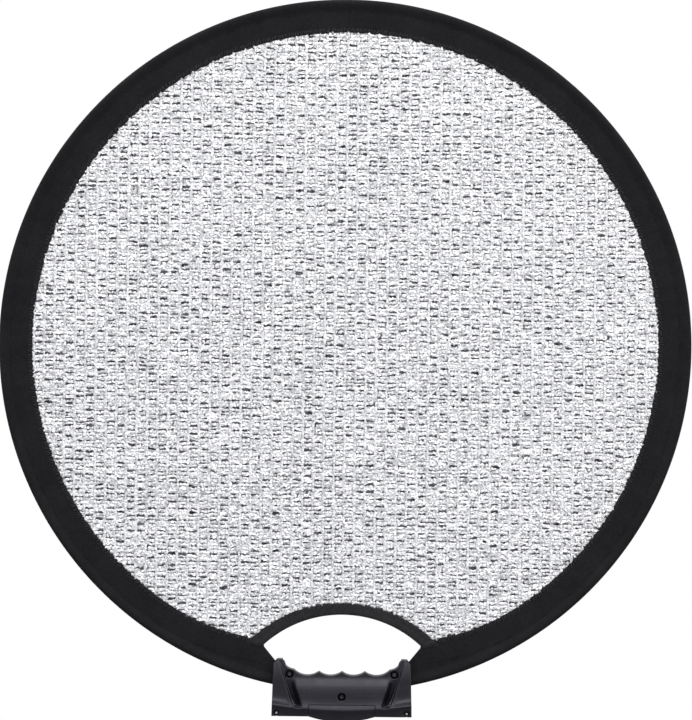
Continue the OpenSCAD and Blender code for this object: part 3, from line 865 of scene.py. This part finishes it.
def rim_edges(side):
    """The sewn edge and the fold, from the handle round to the top."""
    start = math.asin(ENTRY_X / RIM_OUT)
    phi = np.linspace(0, 1, RIM_STEPS) ** 1.15 * (math.pi - start) + start
    fold = np.stack([side * RIM_OUT * np.sin(phi), DISC_Z - RIM_OUT * np.cos(phi)], 1)
    settle = math.radians(21)
    share = np.clip((phi - start) / (settle - start), 0, 1)
    inner = rim_inner(phi)
    x = np.where(phi < settle, ENTRY_X + share * (rim_inner(settle) * math.sin(settle) - ENTRY_X),
                 inner * np.sin(phi))
    round_in = rim_inner(np.arcsin(np.clip(x / RIM_IN, 0, 1)))
    z = np.where(phi < settle, DISC_Z - np.sqrt(np.maximum(round_in**2 - x**2, 0)),
                 DISC_Z - inner * np.cos(phi))
    down = np.clip((OPEN_X - x) / (OPEN_X - ENTRY_X), 0, 1)
    z = np.where((x < OPEN_X) & (phi < settle), CORNER_Z + down * (ENTRY_Z - CORNER_Z), z)
    fray = 0.35 * MM * np.sin(phi * 640) + 0.30 * MM * np.sin(phi * 377 + 1.0)
    z = z + np.where(phi > settle, -fray * np.cos(phi), 0)
    x = x + np.where(phi > settle, fray * np.sin(phi), 0)
    x[-1], fold[-1, 0] = 0.0, 0.0
    return np.stack([side * x, z], 1), fold


def rim_pucker(x, z, depth, reach):
    """Ripples in the cloth: fine level ones by the handle, broad shallow ones elsewhere."""
    turn = np.arctan2(x, DISC_Z - z)
    near = np.clip(1 - (np.abs(x) - HANDLE_HALF) / (38 * MM), 0, 1) * (z < DISC_Z - 0.2)
    low = np.clip((DISC_Z - z - 283 * MM) / (4 * MM), 0, 1)
    fine = near * low * 0.55 * MM * np.sin((z - DISC_Z) / (2.15 * MM) * 2 * math.pi
                                           + 14 * np.abs(x))
    broad = 0.16 * MM * np.sin(turn * 61 + 3 * np.sin(turn * 7)) + 0.10 * MM * np.sin(turn * 143)
    tight = np.clip(reach / (9 * MM), 0, 1) * np.clip((28 * MM - reach) / (6 * MM), 0, 1)
    return np.sign(depth) * (fine * np.clip(reach / (1.5 * MM), 0, 1) + broad * tight)


sleeve, rim_lines = {}, {}
for side_name, side in SIDES:
    sewn, fold = rim_edges(side)
    rim_lines[side_name] = sewn, fold
    sleeve[side_name] = strip("rim_sleeve_" + side_name, sewn, fold, sleeve_section, 8 * MM,
                              black_cloth, rim_pucker)
print("sleeve faces", [len(s.data.polygons) for s in sleeve.values()])

# %% [markdown]
# ## The hand opening's tape
#
# A narrow black tape is folded over the raw edge of the arched opening and
# serged to the silver cloth. It is the same kind of strip with a smaller
# section, and its ends lie over the rim.

# %% Tape of the hand opening
TAPE_OUTER = [(8.6, 0.95), (8.4, 1.30), (7.4, 1.62), (5.0, 1.72), (2.6, 1.78), (1.0, 1.60),
              (0.3, 1.05), (0.0, 0.0)]
TAPE_INNER = [(8.6, 0.50), (6.5, 0.62), (4.0, 0.80), (1.8, 0.85), (0.95, 0.6), (0.75, 0.0)]
LOW_TURN, HIGH_TURN = math.radians(42.9), math.radians(44.6)
share = np.linspace(-1, 1, 241)
low_edge = np.stack([ARCH_R * np.sin(share * LOW_TURN),
                     ARCH_Z + ARCH_R * np.cos(share * LOW_TURN)], 1)
bead = 0.32 * MM * np.sin(share * 118) + 0.16 * MM * np.sin(share * 261 + 1)
high_r = TAPE_R + bead
high_edge = np.stack([high_r * np.sin(share * HIGH_TURN),
                      TAPE_Z + high_r * np.cos(share * HIGH_TURN)], 1)
for end, grow in ((0, -1), (-1, 1)):
    for row, out, down in ((low_edge, 1.1 * MM, 3.4 * MM), (high_edge, 1.7 * MM, 1.7 * MM)):
        row[end] = row[end] + np.array([grow * out, -down])


def tape_pucker(x, z, depth, reach):
    """Small ripples along the tape."""
    turn = np.arctan2(x, z - ARCH_Z)
    return np.sign(depth) * 0.14 * MM * np.sin(turn * 88 + 2 * np.sin(turn * 9))


opening_tape = strip("hand_opening_binding", high_edge, low_edge,
                     both_faces(TAPE_OUTER, TAPE_INNER), 1 * MM, binding_tape, tape_pucker)
print("tape faces", len(opening_tape.data.polygons))

# %% [markdown]
# ## The spring hoop
#
# Inside the sleeve runs one flat band of spring steel, which lets the disc snap
# open and twist shut. It follows an arc exactly, so a small Geometry Nodes tree
# sweeps a flat section along an arc.

# %% Sweep a flat band along an arc
def close_tree(tree, geometry, out, finish):
    """Ends a tree: real geometry with its finish."""
    real = node(tree, "GeometryNodeRealizeInstances", {"Geometry": geometry})
    plug(tree, out, node(tree, "GeometryNodeSetMaterial", {"Geometry": real, "Material": finish}))


banding, given, made = node_tree("banding", [
    ("Radius", FLOAT), ("Start turn", FLOAT), ("Sweep", FLOAT), ("Steps", COUNT),
    ("Band width", FLOAT), ("Band thickness", FLOAT), ("Disc height", FLOAT), ("Finish", STUFF)])
t = banding
arc = node(t, "GeometryNodeCurveArc", {"Resolution": given["Steps"], "Radius": given["Radius"],
                                       "Start Angle": given["Start turn"],
                                       "Sweep Angle": given["Sweep"]}, mode="RADIUS")
flat = node(t, "GeometryNodeCurvePrimitiveQuadrilateral",
            {"Width": given["Band thickness"], "Height": given["Band width"]})
swept = node(t, "GeometryNodeCurveToMesh", {"Curve": arc, "Profile Curve": flat, "Fill Caps": True})
stood = node(t, "GeometryNodeTransform", {
    "Geometry": swept, "Rotation": (math.pi / 2, 0, 0),
    "Translation": xyz(t, z=given["Disc height"])})
close_tree(t, stood, made[0], given["Finish"])

splice_x = abs(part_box("hoop_end_left")[1].x)
gap_turn = math.asin(splice_x / HOOP_R)
hoop = {}
for side_name, start in (("left", math.pi / 2), ("right", -math.pi / 2 + gap_turn)):
    hoop[side_name] = grown("hoop_band_" + side_name, banding, {
        "Radius": HOOP_R, "Start turn": start, "Sweep": math.pi - gap_turn, "Steps": 180,
        "Band width": 6.0 * MM, "Band thickness": 0.9 * MM, "Disc height": DISC_Z,
        "Finish": spring_steel})
print("hoop triangles", triangles(hoop.values()))

# %% [markdown]
# ## Stitches
#
# A serged edge is a run of short slanting threads, and the spring's channel is
# closed by one line of lockstitch. Stitches repeat along a line, so one thread
# is drawn and a tree sets it out along the edge, evenly by length.

# %% One thread, and the tree that sets it along a line
def thread(name, line, thick):
    """A thin four-sided thread along a few points, in millimetres."""
    points, faces = [], []
    for x, y, z in line:
        points += [(x - thick, y, z), (x, y - thick, z), (x + thick, y, z), (x, y + thick, z)]
    for i in range(len(line) - 1):
        for j in range(4):
            k = (j + 1) % 4
            faces.append((i * 4 + j, i * 4 + k, i * 4 + 4 + k, i * 4 + 4 + j))
    faces += [(3, 2, 1, 0), tuple(len(points) - 4 + j for j in range(4))]
    data = mesh_of(name, [[c * MM for c in p] for p in points], faces)
    tidy_normals(data)
    return bpy.data.objects.new(name, data)


serge_thread = thread("serge_thread", [(-0.7, 0.3, -0.55), (-0.5, -0.18, 0.2), (0, -0.32, 1.6),
                                       (0.45, -0.18, 3.2), (0.6, 0.3, 3.7)], 0.26)
lock_thread = thread("lock_thread", [(0, 0.25, -1.35), (0, -0.18, -1.0), (0, -0.28, 0),
                                     (0, -0.18, 1.0), (0, 0.25, 1.35)], 0.24)

sewing, given, made = node_tree("sewing", [
    ("Line", THING), ("Thread", THING), ("Stitch length", FLOAT), ("Lie", FLOAT),
    ("Unevenness", FLOAT), ("Seed", COUNT), ("Finish", STUFF)])
t = sewing
path = node(t, "GeometryNodeMeshToCurve", {"Mesh": shape_in(t, given["Line"])})
even = node(t, "GeometryNodeResampleCurve", {"Curve": path, "Length": given["Stitch length"]},
            mode="LENGTH")
along = node(t, "FunctionNodeAlignRotationToVector",
             {"Vector": node(t, "GeometryNodeInputTangent")}, axis="X", pivot_axis="Y")
loose = jitter(t, given["Seed"])
lean = vec(t, "MULTIPLY", loose, xyz(t, y=given["Unevenness"]))
laid = node(t, "GeometryNodeInstanceOnPoints", {
    "Points": even, "Instance": shape_in(t, given["Thread"]), "Rotation": along,
    "Scale": vec(t, "ADD", (1, 1, 1), vec(t, "MULTIPLY", loose, (0.1, 0.1, 0.14)))})
swung = node(t, "GeometryNodeRotateInstances", {"Instances": laid, "Rotation": lean})
turned = node(t, "GeometryNodeRotateInstances", {"Instances": swung,
                                                 "Rotation": xyz(t, y=given["Lie"])})
close_tree(t, turned, made[0], given["Finish"])
print("sewing", len(t.nodes), "nodes")

# %% Sew the rim and the tape
def line_object(name, points):
    """A line of edges, for a tree to sew along."""
    edges = [(i, i + 1) for i in range(len(points) - 1)]
    return bpy.data.objects.new(name, mesh_of(name, points, edges=edges))


def offset_line(edge, fold, inward, depth):
    """A line that runs beside an edge, on the front or the back."""
    across = fold - edge
    unit = across / np.linalg.norm(across, axis=1)[:, None]
    xz = edge + unit * inward
    return np.stack([xz[:, 0], np.full(len(xz), depth), xz[:, 1]], 1)


def sew(name, line, which, length, lie, uneven, seed, finish=sewing_thread):
    """Runs the sewing tree along a line."""
    return grown(name, sewing, {"Line": line_object(name + "_line", line), "Thread": which,
                                "Stitch length": length, "Lie": lie, "Unevenness": uneven,
                                "Seed": seed, "Finish": finish}, smooth=True)


stitches = {"left": [], "right": [], "tape": []}
for side_name, side in SIDES:
    sewn, fold = rim_lines[side_name]
    keep = (np.abs(sewn[:, 0]) > 74 * MM) | (sewn[:, 1] > DISC_Z)  # not beside the handle
    sewn, fold = sewn[keep][::-side], fold[keep][::-side]
    for face_name, face in FACES:
        stitches[side_name].append(sew(
            f"serging_{face_name}_{side_name}", offset_line(sewn, fold, 0.4 * MM, face * 1.42 * MM),
            serge_thread, 1.7 * MM, 0.0, 0.28, 31))
        stitches[side_name].append(sew(
            f"channel_stitch_{face_name}_{side_name}",
            offset_line(sewn, fold, 19 * MM, face * 1.72 * MM), lock_thread, 3.3 * MM,
            math.pi / 2, 0.05, 37, black_cloth))
for face_name, face in FACES:
    stitches["tape"].append(sew(
        "tape_serging_" + face_name,
        offset_line(high_edge, low_edge, 0.1 * MM, face * 1.62 * MM)[::-1],
        serge_thread, 1.55 * MM, 0.0, 0.3, 41))
print("stitch triangles", triangles(s for group in stitches.values() for s in group))

# %% [markdown]
# ## The moulded grip
#
# The grip is two moulded shells with a separate palm block. A mould has no
# sharp corners: the horns carry a rounded ridge, the long barrel ends in soft
# shoulders, and the lower edge rolls outward like a hem. Boxes and cylinders
# joined by Booleans would stay hard. Here the skin's depth is a rule over the
# handle's width and height: the shapes are laid over each other, blurred a
# little as a mould maker's fillets do, and screw holes are cut last. A sheet of
# small faces takes that depth, and walls close it into a real hollow shell.

# %% Outline of the grip
# On the handle, lengths are in millimetres and u is the height above the hoop's lowest point.
BASE, TIP = -23.4, 25.5
SIDE = 60.0
BLOCK_HALF, BLOCK_TOP, BELLY_SAG = 28.5, -13.4, 4.6
GROOVES = (-30, -10, 10, 30)


def bell(value, middle, width):
    """A smooth hump."""
    return np.exp(-(((value - middle) / width) ** 2))


def rise(value, start, end):
    """0 before start, 1 after end, smooth between."""
    share = np.clip((value - start) / (end - start), 0, 1)
    return share * share * (3 - 2 * share)


def bowl(x, middle, radius, height):
    """Underside of a circle, or far above where the circle isn't."""
    drop = radius**2 - (x - middle) ** 2
    return np.where(drop > 0, height - np.sqrt(np.maximum(drop, 0)), 1e3)


def grip_top(x):
    """Upper outline: horn tips, hollow shoulders and four finger grooves."""
    x = np.asarray(x, float)
    top = TIP - 3.5 * np.clip((np.abs(x) - (SIDE - 3.4)) / 3.4, 0, 1)
    top = np.where(np.abs(x) < 41, np.minimum(top, 16.6), top)
    top = np.minimum(top, bowl(np.abs(x), 41, 11.4, 27.8))
    for middle in GROOVES:
        top = np.minimum(top, bowl(x, middle, 16.8, 28.3))
    return top


def belly(x):
    """Underside of the palm block."""
    return BASE - BELLY_SAG * (1 - np.clip(np.abs(x) / BLOCK_HALF, 0, 1) ** 2)


print("groove floor", round(float(grip_top(10.0)), 2), "peak", round(float(grip_top(0.0)), 2))

# %% Depth of the grip's skin
UPPER_SCREW, CENTRE_SCREW, CORNER_SCREW = (45.6, 12.6), (0.0, -6.6), (55.7, -20.5)
TAPER = 0.00042  # the sides spread a little towards the bottom


def along(u, table):
    """A value that follows a table of heights."""
    heights, values = zip(*table)
    return np.interp(u, heights, values)


HORN_EDGE = [(-19, 36.8), (-15.2, 39.0), (-9.4, 42.6), (0.4, 46.1), (10, 49.4), (19.5, 52.8),
             (25.5, 54.6)]
BARREL_END = [(-14, 37.6), (-6, 40.3), (0, 42.4), (5, 43.8), (12, 44.4)]
BARREL = [(-6, 14.1), (-4.8, 14.0), (-2.2, 13.75), (0.4, 13.2), (3, 12.2), (5.6, 10.7), (8.2, 9.0),
          (9.4, 8.35), (10.6, 8.0)]
VALLEY = [(-9, 5.2), (0, 6.2), (9, 7.6)]
ROLL_OUT = [(0, 1.0), (1.2, 0.84), (3.8, 0.46), (6.4, 0.18), (9.0, 0.04), (11.6, 0.0)]
HEM = 17.7
UNDERSIDE = [(-12, 13.7), (-7, 14.4), (-3.8, 15.3), (-2, 16.2), (-1, 17.35), (0, HEM)]


def skin_shape(x, u):
    """The skin before blurring: half depth of the grip at a width and a height."""
    x = np.abs(x)
    end = along(u, BARREL_END)
    valley = along(u, VALLEY)
    body = valley + np.maximum(along(u, BARREL) - valley, 0) * rise(x, end + 0.3, end - 4.2)
    past = x - along(u, HORN_EDGE)
    ridge = 0.6 + 0.8 * rise(u, 6, -9)
    horn = 11.7 + ridge * bell(past, 2.0, 1.5) - 0.05 * np.maximum(past, 0)
    horn = horn - 0.018 * np.maximum(u - 8, 0) ** 2
    on_horn = rise(past, -0.1, 1.1)
    body = body * (1 - on_horn) + horn * on_horn
    above = u + 17.8 - 4.8 * (x / 58) ** 2
    share = along(above, ROLL_OUT) ** (1 + np.maximum(14.2 - body, 0) / 3)
    rolled = body + share * (HEM - body)
    return np.where(above > 0, rolled, along(above, UNDERSIDE))


STEP, BLUR = 0.4, 0.62
table_x, table_u = np.arange(-63, 63.01, STEP), np.arange(-34, 30.01, STEP)
depth_table = skin_shape(*np.meshgrid(table_x, table_u, indexing="ij"))
weights = np.exp(-0.5 * (np.arange(-5, 6) * STEP / BLUR) ** 2)
weights /= weights.sum()
for axis in (0, 1):
    padded_table = np.pad(depth_table, [(5, 5) if a == axis else (0, 0) for a in (0, 1)], "edge")
    depth_table = sum(w * np.take(padded_table, np.arange(depth_table.shape[axis]) + k, axis)
                      for k, w in enumerate(weights))


def skin_depth(x, u):
    """Blurred half depth at any point."""
    i = np.clip((x - table_x[0]) / STEP, 0, len(table_x) - 1.001)
    j = np.clip((u - table_u[0]) / STEP, 0, len(table_u) - 1.001)
    a, b = i.astype(int), j.astype(int)
    s, t = i - a, j - b
    return ((depth_table[a, b] * (1 - s) + depth_table[a + 1, b] * s) * (1 - t)
            + (depth_table[a, b + 1] * (1 - s) + depth_table[a + 1, b + 1] * s) * t)


print("barrel", round(float(skin_depth(np.array(5.0), np.array(-3.0))), 2),
      "hem", round(float(skin_depth(np.array(5.0), np.array(-18.0))), 2), "mm deep")

# %% Close a skin into a shell or a block
def edge_drop(distance, radius):
    """How far a rounded edge falls away near an outline."""
    share = np.clip(1 - distance / radius, 0, 1)
    return radius * (1 - np.sqrt(np.maximum(1 - share**2, 0)))


def open_edges(quads):
    """Directed edges that only one face uses."""
    ends = np.concatenate([quads[:, [k, (k + 1) % 4]] for k in range(4)])
    known = set(map(tuple, ends))
    return [(a, b) for a, b in known if (b, a) not in known]


def punched(x, u, depth, holes):
    """Cuts round flat-bottomed holes, and settles nearby points on their rims."""
    for (hx, hu), radius, floor in holes:
        away_x, away_u = x - hx, u - hu
        away = np.hypot(away_x, away_u)
        near = (np.abs(away - radius) < 0.42) & (away > 0.1)
        ring_r = np.where(away < radius, radius - 0.08, radius + 0.12)
        x = np.where(near, hx + away_x / np.maximum(away, 1e-6) * ring_r, x)
        u = np.where(near, hu + away_u / np.maximum(away, 1e-6) * ring_r, u)
        depth = np.where(away < radius, np.minimum(depth, floor), depth)
        depth = depth - 0.35 * ((away >= radius) & near)
    return x, u, depth


def finished_grip_mesh(name, points, faces):
    """Spreads the sides, moves a grip piece to its place and tidies it."""
    points = np.asarray(points)
    points[:, 0] *= 1 - TAPER * points[:, 2]
    made = mesh_object(name, points * MM + np.array([0, 0, HOOP_LOW]), faces, moulded_black)
    tidy_normals(made.data)
    keep_rest_place(made.data)
    return made


print("grip helpers ready")

# %% One shell of the grip
WALL = 2.4
SEAM = 0.12  # half the gap between the two shells


def grip_shell(name, face, holes):
    """Outer skin, side walls, a hollow inside, and slots where the rim comes in."""
    sides = np.linspace(BLOCK_HALF + 0.15, SIDE, 65)
    middle = np.linspace(-BLOCK_HALF - 0.15, BLOCK_HALF + 0.15, 121)
    across = np.concatenate([-sides[::-1], middle[1:-1], sides])
    join = BLOCK_TOP + 0.05
    lower, upper = np.linspace(0, 1, 21)[:-1], np.linspace(0, 1, 79)
    top = grip_top(across)
    u = np.concatenate([BASE + (join - BASE) * np.broadcast_to(lower, (len(across), 20)),
                        join + (top - join)[:, None] * upper[None, :]], 1)
    x = np.broadcast_to(across[:, None], u.shape).copy()
    in_block = np.abs(across) < BLOCK_HALF + 0.1
    slope = np.gradient(top, across)
    to_top = (top[:, None] - u) / np.sqrt(1 + np.minimum(slope**2, 9))[:, None]
    over_block = np.where(in_block[:, None], u - join, 9.0)
    beside_block = np.where((u < join) & ~in_block[:, None], np.abs(x) - BLOCK_HALF - 0.15, 9.0)
    outline = np.minimum(np.minimum(to_top, u - BASE), SIDE - np.abs(x))
    depth = skin_depth(x, u)
    depth = depth - edge_drop(np.maximum(outline, 0), 0.55)
    depth = depth - edge_drop(np.clip(over_block, 0, None), 0.12)
    depth = depth - edge_drop(np.clip(beside_block, 0, None), 0.3)
    inner_depth = skin_depth(x, u) - WALL
    for (hx, hu), radius, floor in holes:
        under = np.hypot(x - hx, u - hu) < radius + 1.8
        inner_depth = np.where(under, np.minimum(inner_depth, floor - 2.0), inner_depth)
    inner_x = x * (1 - WALL / SIDE)
    low_u = np.where(in_block, join, BASE)[:, None]
    share = np.clip((u - low_u) / (top[:, None] - low_u), 0, 1)
    inner_u = u + WALL * (1 - 2 * share)
    x, u, depth = punched(x, u, depth, holes)
    solid = ~((in_block[:-1] | in_block[1:])[:, None] & (np.arange(x.shape[1] - 1) < 20))
    quads = grid_quads(*x.shape)[solid]
    count = x.size
    outer = np.stack([x, face * depth, u], -1).reshape(-1, 3)
    inner = np.stack([inner_x, face * np.maximum(inner_depth, 1.2), inner_u], -1).reshape(-1, 3)
    points = [*outer, *inner]
    faces = two_skins(quads, count)
    rows = {}

    def foot(v):
        """The two points below an edge point, on the outer and inner wall."""
        if v not in rows:
            ox, _, ou = outer[v]
            slot = abs(ox) > 56.2 and ou > -2.5
            rest = 4.6 if slot else SEAM
            rows[v] = len(points)
            points.append((ox, face * rest, ou))
            points.append((inner[v][0], face * rest, inner[v][2]))
        return rows[v]

    for a, b in open_edges(quads):
        p, q = foot(a), foot(b)
        faces += [(b, a, p, q), (q, p, p + 1, q + 1), (q + 1, p + 1, a + count, b + count)]
    return finished_grip_mesh(name, points, faces)


COUNTERBORE = 3.4
front_holes = [((s * UPPER_SCREW[0], UPPER_SCREW[1]), COUNTERBORE, 3.6) for s in (-1, 1)]
front_holes += [(CENTRE_SCREW, COUNTERBORE, 9.2)]
front_holes += [((s * CORNER_SCREW[0], CORNER_SCREW[1]), 2.6, 11.2) for s in (-1, 1)]
grip = {"handle_front_shell": grip_shell("grip_front_shell", -1, front_holes),
        "handle_rear_shell": grip_shell("grip_rear_shell", 1, [])}
print("shell faces", [len(p.data.polygons) for p in grip.values()])

# %% The palm block and its socket boss
BOSS_R, BORE_R, MOUTH = 10.0, 5.06, -32.0


def palm_block(name):
    """A block that carries the hem on, with a round boss below for the stand socket."""
    across = np.linspace(-BLOCK_HALF - 0.04, BLOCK_HALF + 0.04, 113)
    share = np.linspace(0, 1, 30)
    low = belly(across)
    u = low[:, None] + (BLOCK_TOP - 0.1 - low)[:, None] * share[None, :]
    x = np.broadcast_to(across[:, None], u.shape)
    depth = skin_depth(x, u) - edge_drop(np.maximum(u - low[:, None], 0), 0.9)
    depth = depth - edge_drop(np.maximum(BLOCK_TOP - 0.1 - u, 0), 0.12)
    depth = depth - edge_drop(np.maximum(BLOCK_HALF + 0.04 - np.abs(x), 0), 0.3)
    quads = grid_quads(*x.shape).reshape(-1, 4)
    count = x.size
    points = np.concatenate([np.stack([x, face * depth, u], -1).reshape(-1, 3) for face in (-1, 1)])
    points = list(points)
    faces = two_skins(quads, count)
    faces += [(b, a, a + count, b + count) for a, b in open_edges(quads)]
    boss = [(BORE_R, -19.0), (BORE_R, MOUTH + 0.5), (BORE_R + 0.5, MOUTH), (BOSS_R - 0.9, MOUTH),
            (BOSS_R - 0.25, MOUTH + 0.25), (BOSS_R, MOUTH + 0.9), (BOSS_R, -19.0)]
    start, turns = len(points), 72
    for k in range(turns):
        a = 2 * math.pi * k / turns
        points += [(r * math.cos(a), r * math.sin(a), h) for r, h in boss]
    for k in range(turns):
        for p in range(len(boss)):
            here, there = start + k * len(boss), start + (k + 1) % turns * len(boss)
            q = (p + 1) % len(boss)
            faces.append((here + p, there + p, there + q, here + q))
    return finished_grip_mesh(name, points, faces)


grip["palm_block"] = palm_block("grip_palm_block")
for node_name, piece in grip.items():
    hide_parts(node_name)
    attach(piece, "centre")
print("grip triangles", triangles(grip.values()))

# %% [markdown]
# ## Screws
#
# Three black screws sit deep in the front shell and two bright ones fill its
# lower corners. A screw head is a turned dome with a pressed cross. One head is
# shaped as a round grid of points, and a small tree sets a copy at each hole.

# %% A screw head and its places
def screw_head(name, radius, height, shank, cross):
    """A domed head with a cross recess, seen along minus y, and a short shank behind."""
    rings, spokes = np.linspace(0, 1, 15)[1:], 48
    points, faces = [(0.0, -height + 0.9, 0.0)], []
    for r in rings:
        for k in range(spokes):
            a = 2 * math.pi * k / spokes
            px, pz = r * radius * math.cos(a), r * radius * math.sin(a)
            dome = height * math.sqrt(max(1 - 0.97 * r**2.2, 0))
            arm = max(abs(px), abs(pz)) < cross and min(abs(px), abs(pz)) < 0.17 * radius
            dome -= 0.9 * float(arm) * (1 - max(abs(px), abs(pz)) / cross * 0.6)
            points.append((px, -dome, pz))
    for k in range(spokes):
        faces.append((0, 1 + k, 1 + (k + 1) % spokes))
    for ring in range(len(rings) - 1):
        for k in range(spokes):
            a, b = 1 + ring * spokes + k, 1 + ring * spokes + (k + 1) % spokes
            faces.append((a, a + spokes, b + spokes, b))
    last = 1 + (len(rings) - 1) * spokes
    for r, y in ((radius, 0.0), (shank, 0.0), (shank, 6.0)):
        first = len(points)
        for k in range(spokes):
            a = 2 * math.pi * k / spokes
            points.append((r * math.cos(a), y, r * math.sin(a)))
        for k in range(spokes):
            q = (k + 1) % spokes
            faces.append((last + k, first + k, first + q, last + q))
        last = first
    faces.append(tuple(last + k for k in range(spokes)))
    data = mesh_of(name, [[c * MM for c in p] for p in points], faces)
    tidy_normals(data)
    return bpy.data.objects.new(name, data)


fixing, given, made = node_tree("fixing", [
    ("Places", THING), ("Head", THING), ("Turn least", FLOAT), ("Turn most", FLOAT),
    ("Seed", COUNT), ("Finish", STUFF)])
t = fixing
holes_at = node(t, "GeometryNodeMeshToPoints", {"Mesh": shape_in(t, given["Places"])})
spin = xyz(t, y=chance(t, given["Turn least"], given["Turn most"], given["Seed"]).outputs[1])
driven = node(t, "GeometryNodeInstanceOnPoints", {
    "Points": holes_at, "Rotation": spin, "Instance": shape_in(t, given["Head"])})
close_tree(t, driven, made[0], given["Finish"])


def set_screws(name, node_name, head, places, finish, seed):
    """Sets a head at each place and hides the CAD screws it stands for."""
    spots_mesh = mesh_of(name + "_places", [
        (x * (1 - TAPER * u) * MM, -d * MM, HOOP_LOW + u * MM) for x, u, d in places])
    made = grown(name, fixing, {"Places": bpy.data.objects.new(name + "_places", spots_mesh),
                                "Head": head, "Turn least": -0.8, "Turn most": 0.8, "Seed": seed,
                                "Finish": finish}, smooth=True)
    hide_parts(node_name)
    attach(made, "centre")
    return made


set_screws("black_screws", "handle_screws", screw_head("black_head", 2.75, 2.1, 1.4, 1.3),
           [(-UPPER_SCREW[0], UPPER_SCREW[1], 3.9), (UPPER_SCREW[0], UPPER_SCREW[1], 3.9),
            (*CENTRE_SCREW, 9.5)], black_oxide, 3)
set_screws("bright_screws", "corner_screws", screw_head("bright_head", 1.5, 1.5, 1.0, 0.7),
           [(s * CORNER_SCREW[0], CORNER_SCREW[1], 11.3) for s in (-1, 1)], nickel,
           5)
print("screws set")

# %% [markdown]
# ## Hardware
#
# The socket's brass insert and the splice that joins the spring's ends keep
# their exact CAD shape and place, and only get their finishes.

# %% Finish the hardware
for name, finish in {
        "stand_socket_insert": brass, "hoop_splice_plate": spring_steel,
        "hoop_splice_rivets": nickel}.items():
    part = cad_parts[name]
    part.data.materials.clear()
    part.data.materials.append(finish)
print("hard pieces finished")

# %% [markdown]
# ## Fixing the halves in place
#
# The real disc twists into three small rings, which rigid bodies can't do. Here
# every cloth or spring half has its placement baked into its mesh, and the CAD
# pieces that it stands for are hidden.

# %% Fix every piece in place and hide the CAD pieces it stands for
def folds(piece):
    """Bakes the piece's placement into its mesh."""
    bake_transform(piece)


for side_name, side in SIDES:
    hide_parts("mesh_" + side_name, "mesh_centre")
    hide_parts("rim_binding_" + side_name, "rim_binding_top",
                "rim_binding_lower_" + side_name)
    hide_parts(f"hoop_{side_name}_band", "hoop_top_band", "hoop_end_" + side_name)
    tapes_here = knit[side_name, "front"] + knit[side_name, "back"]
    for piece in (shade_sheets[side_name], sleeve[side_name], hoop[side_name], *tapes_here,
                  *stitches[side_name]):
        folds(piece)
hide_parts("hand_opening_tape")
for piece in (opening_tape, *stitches["tape"]):
    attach(piece, "centre")
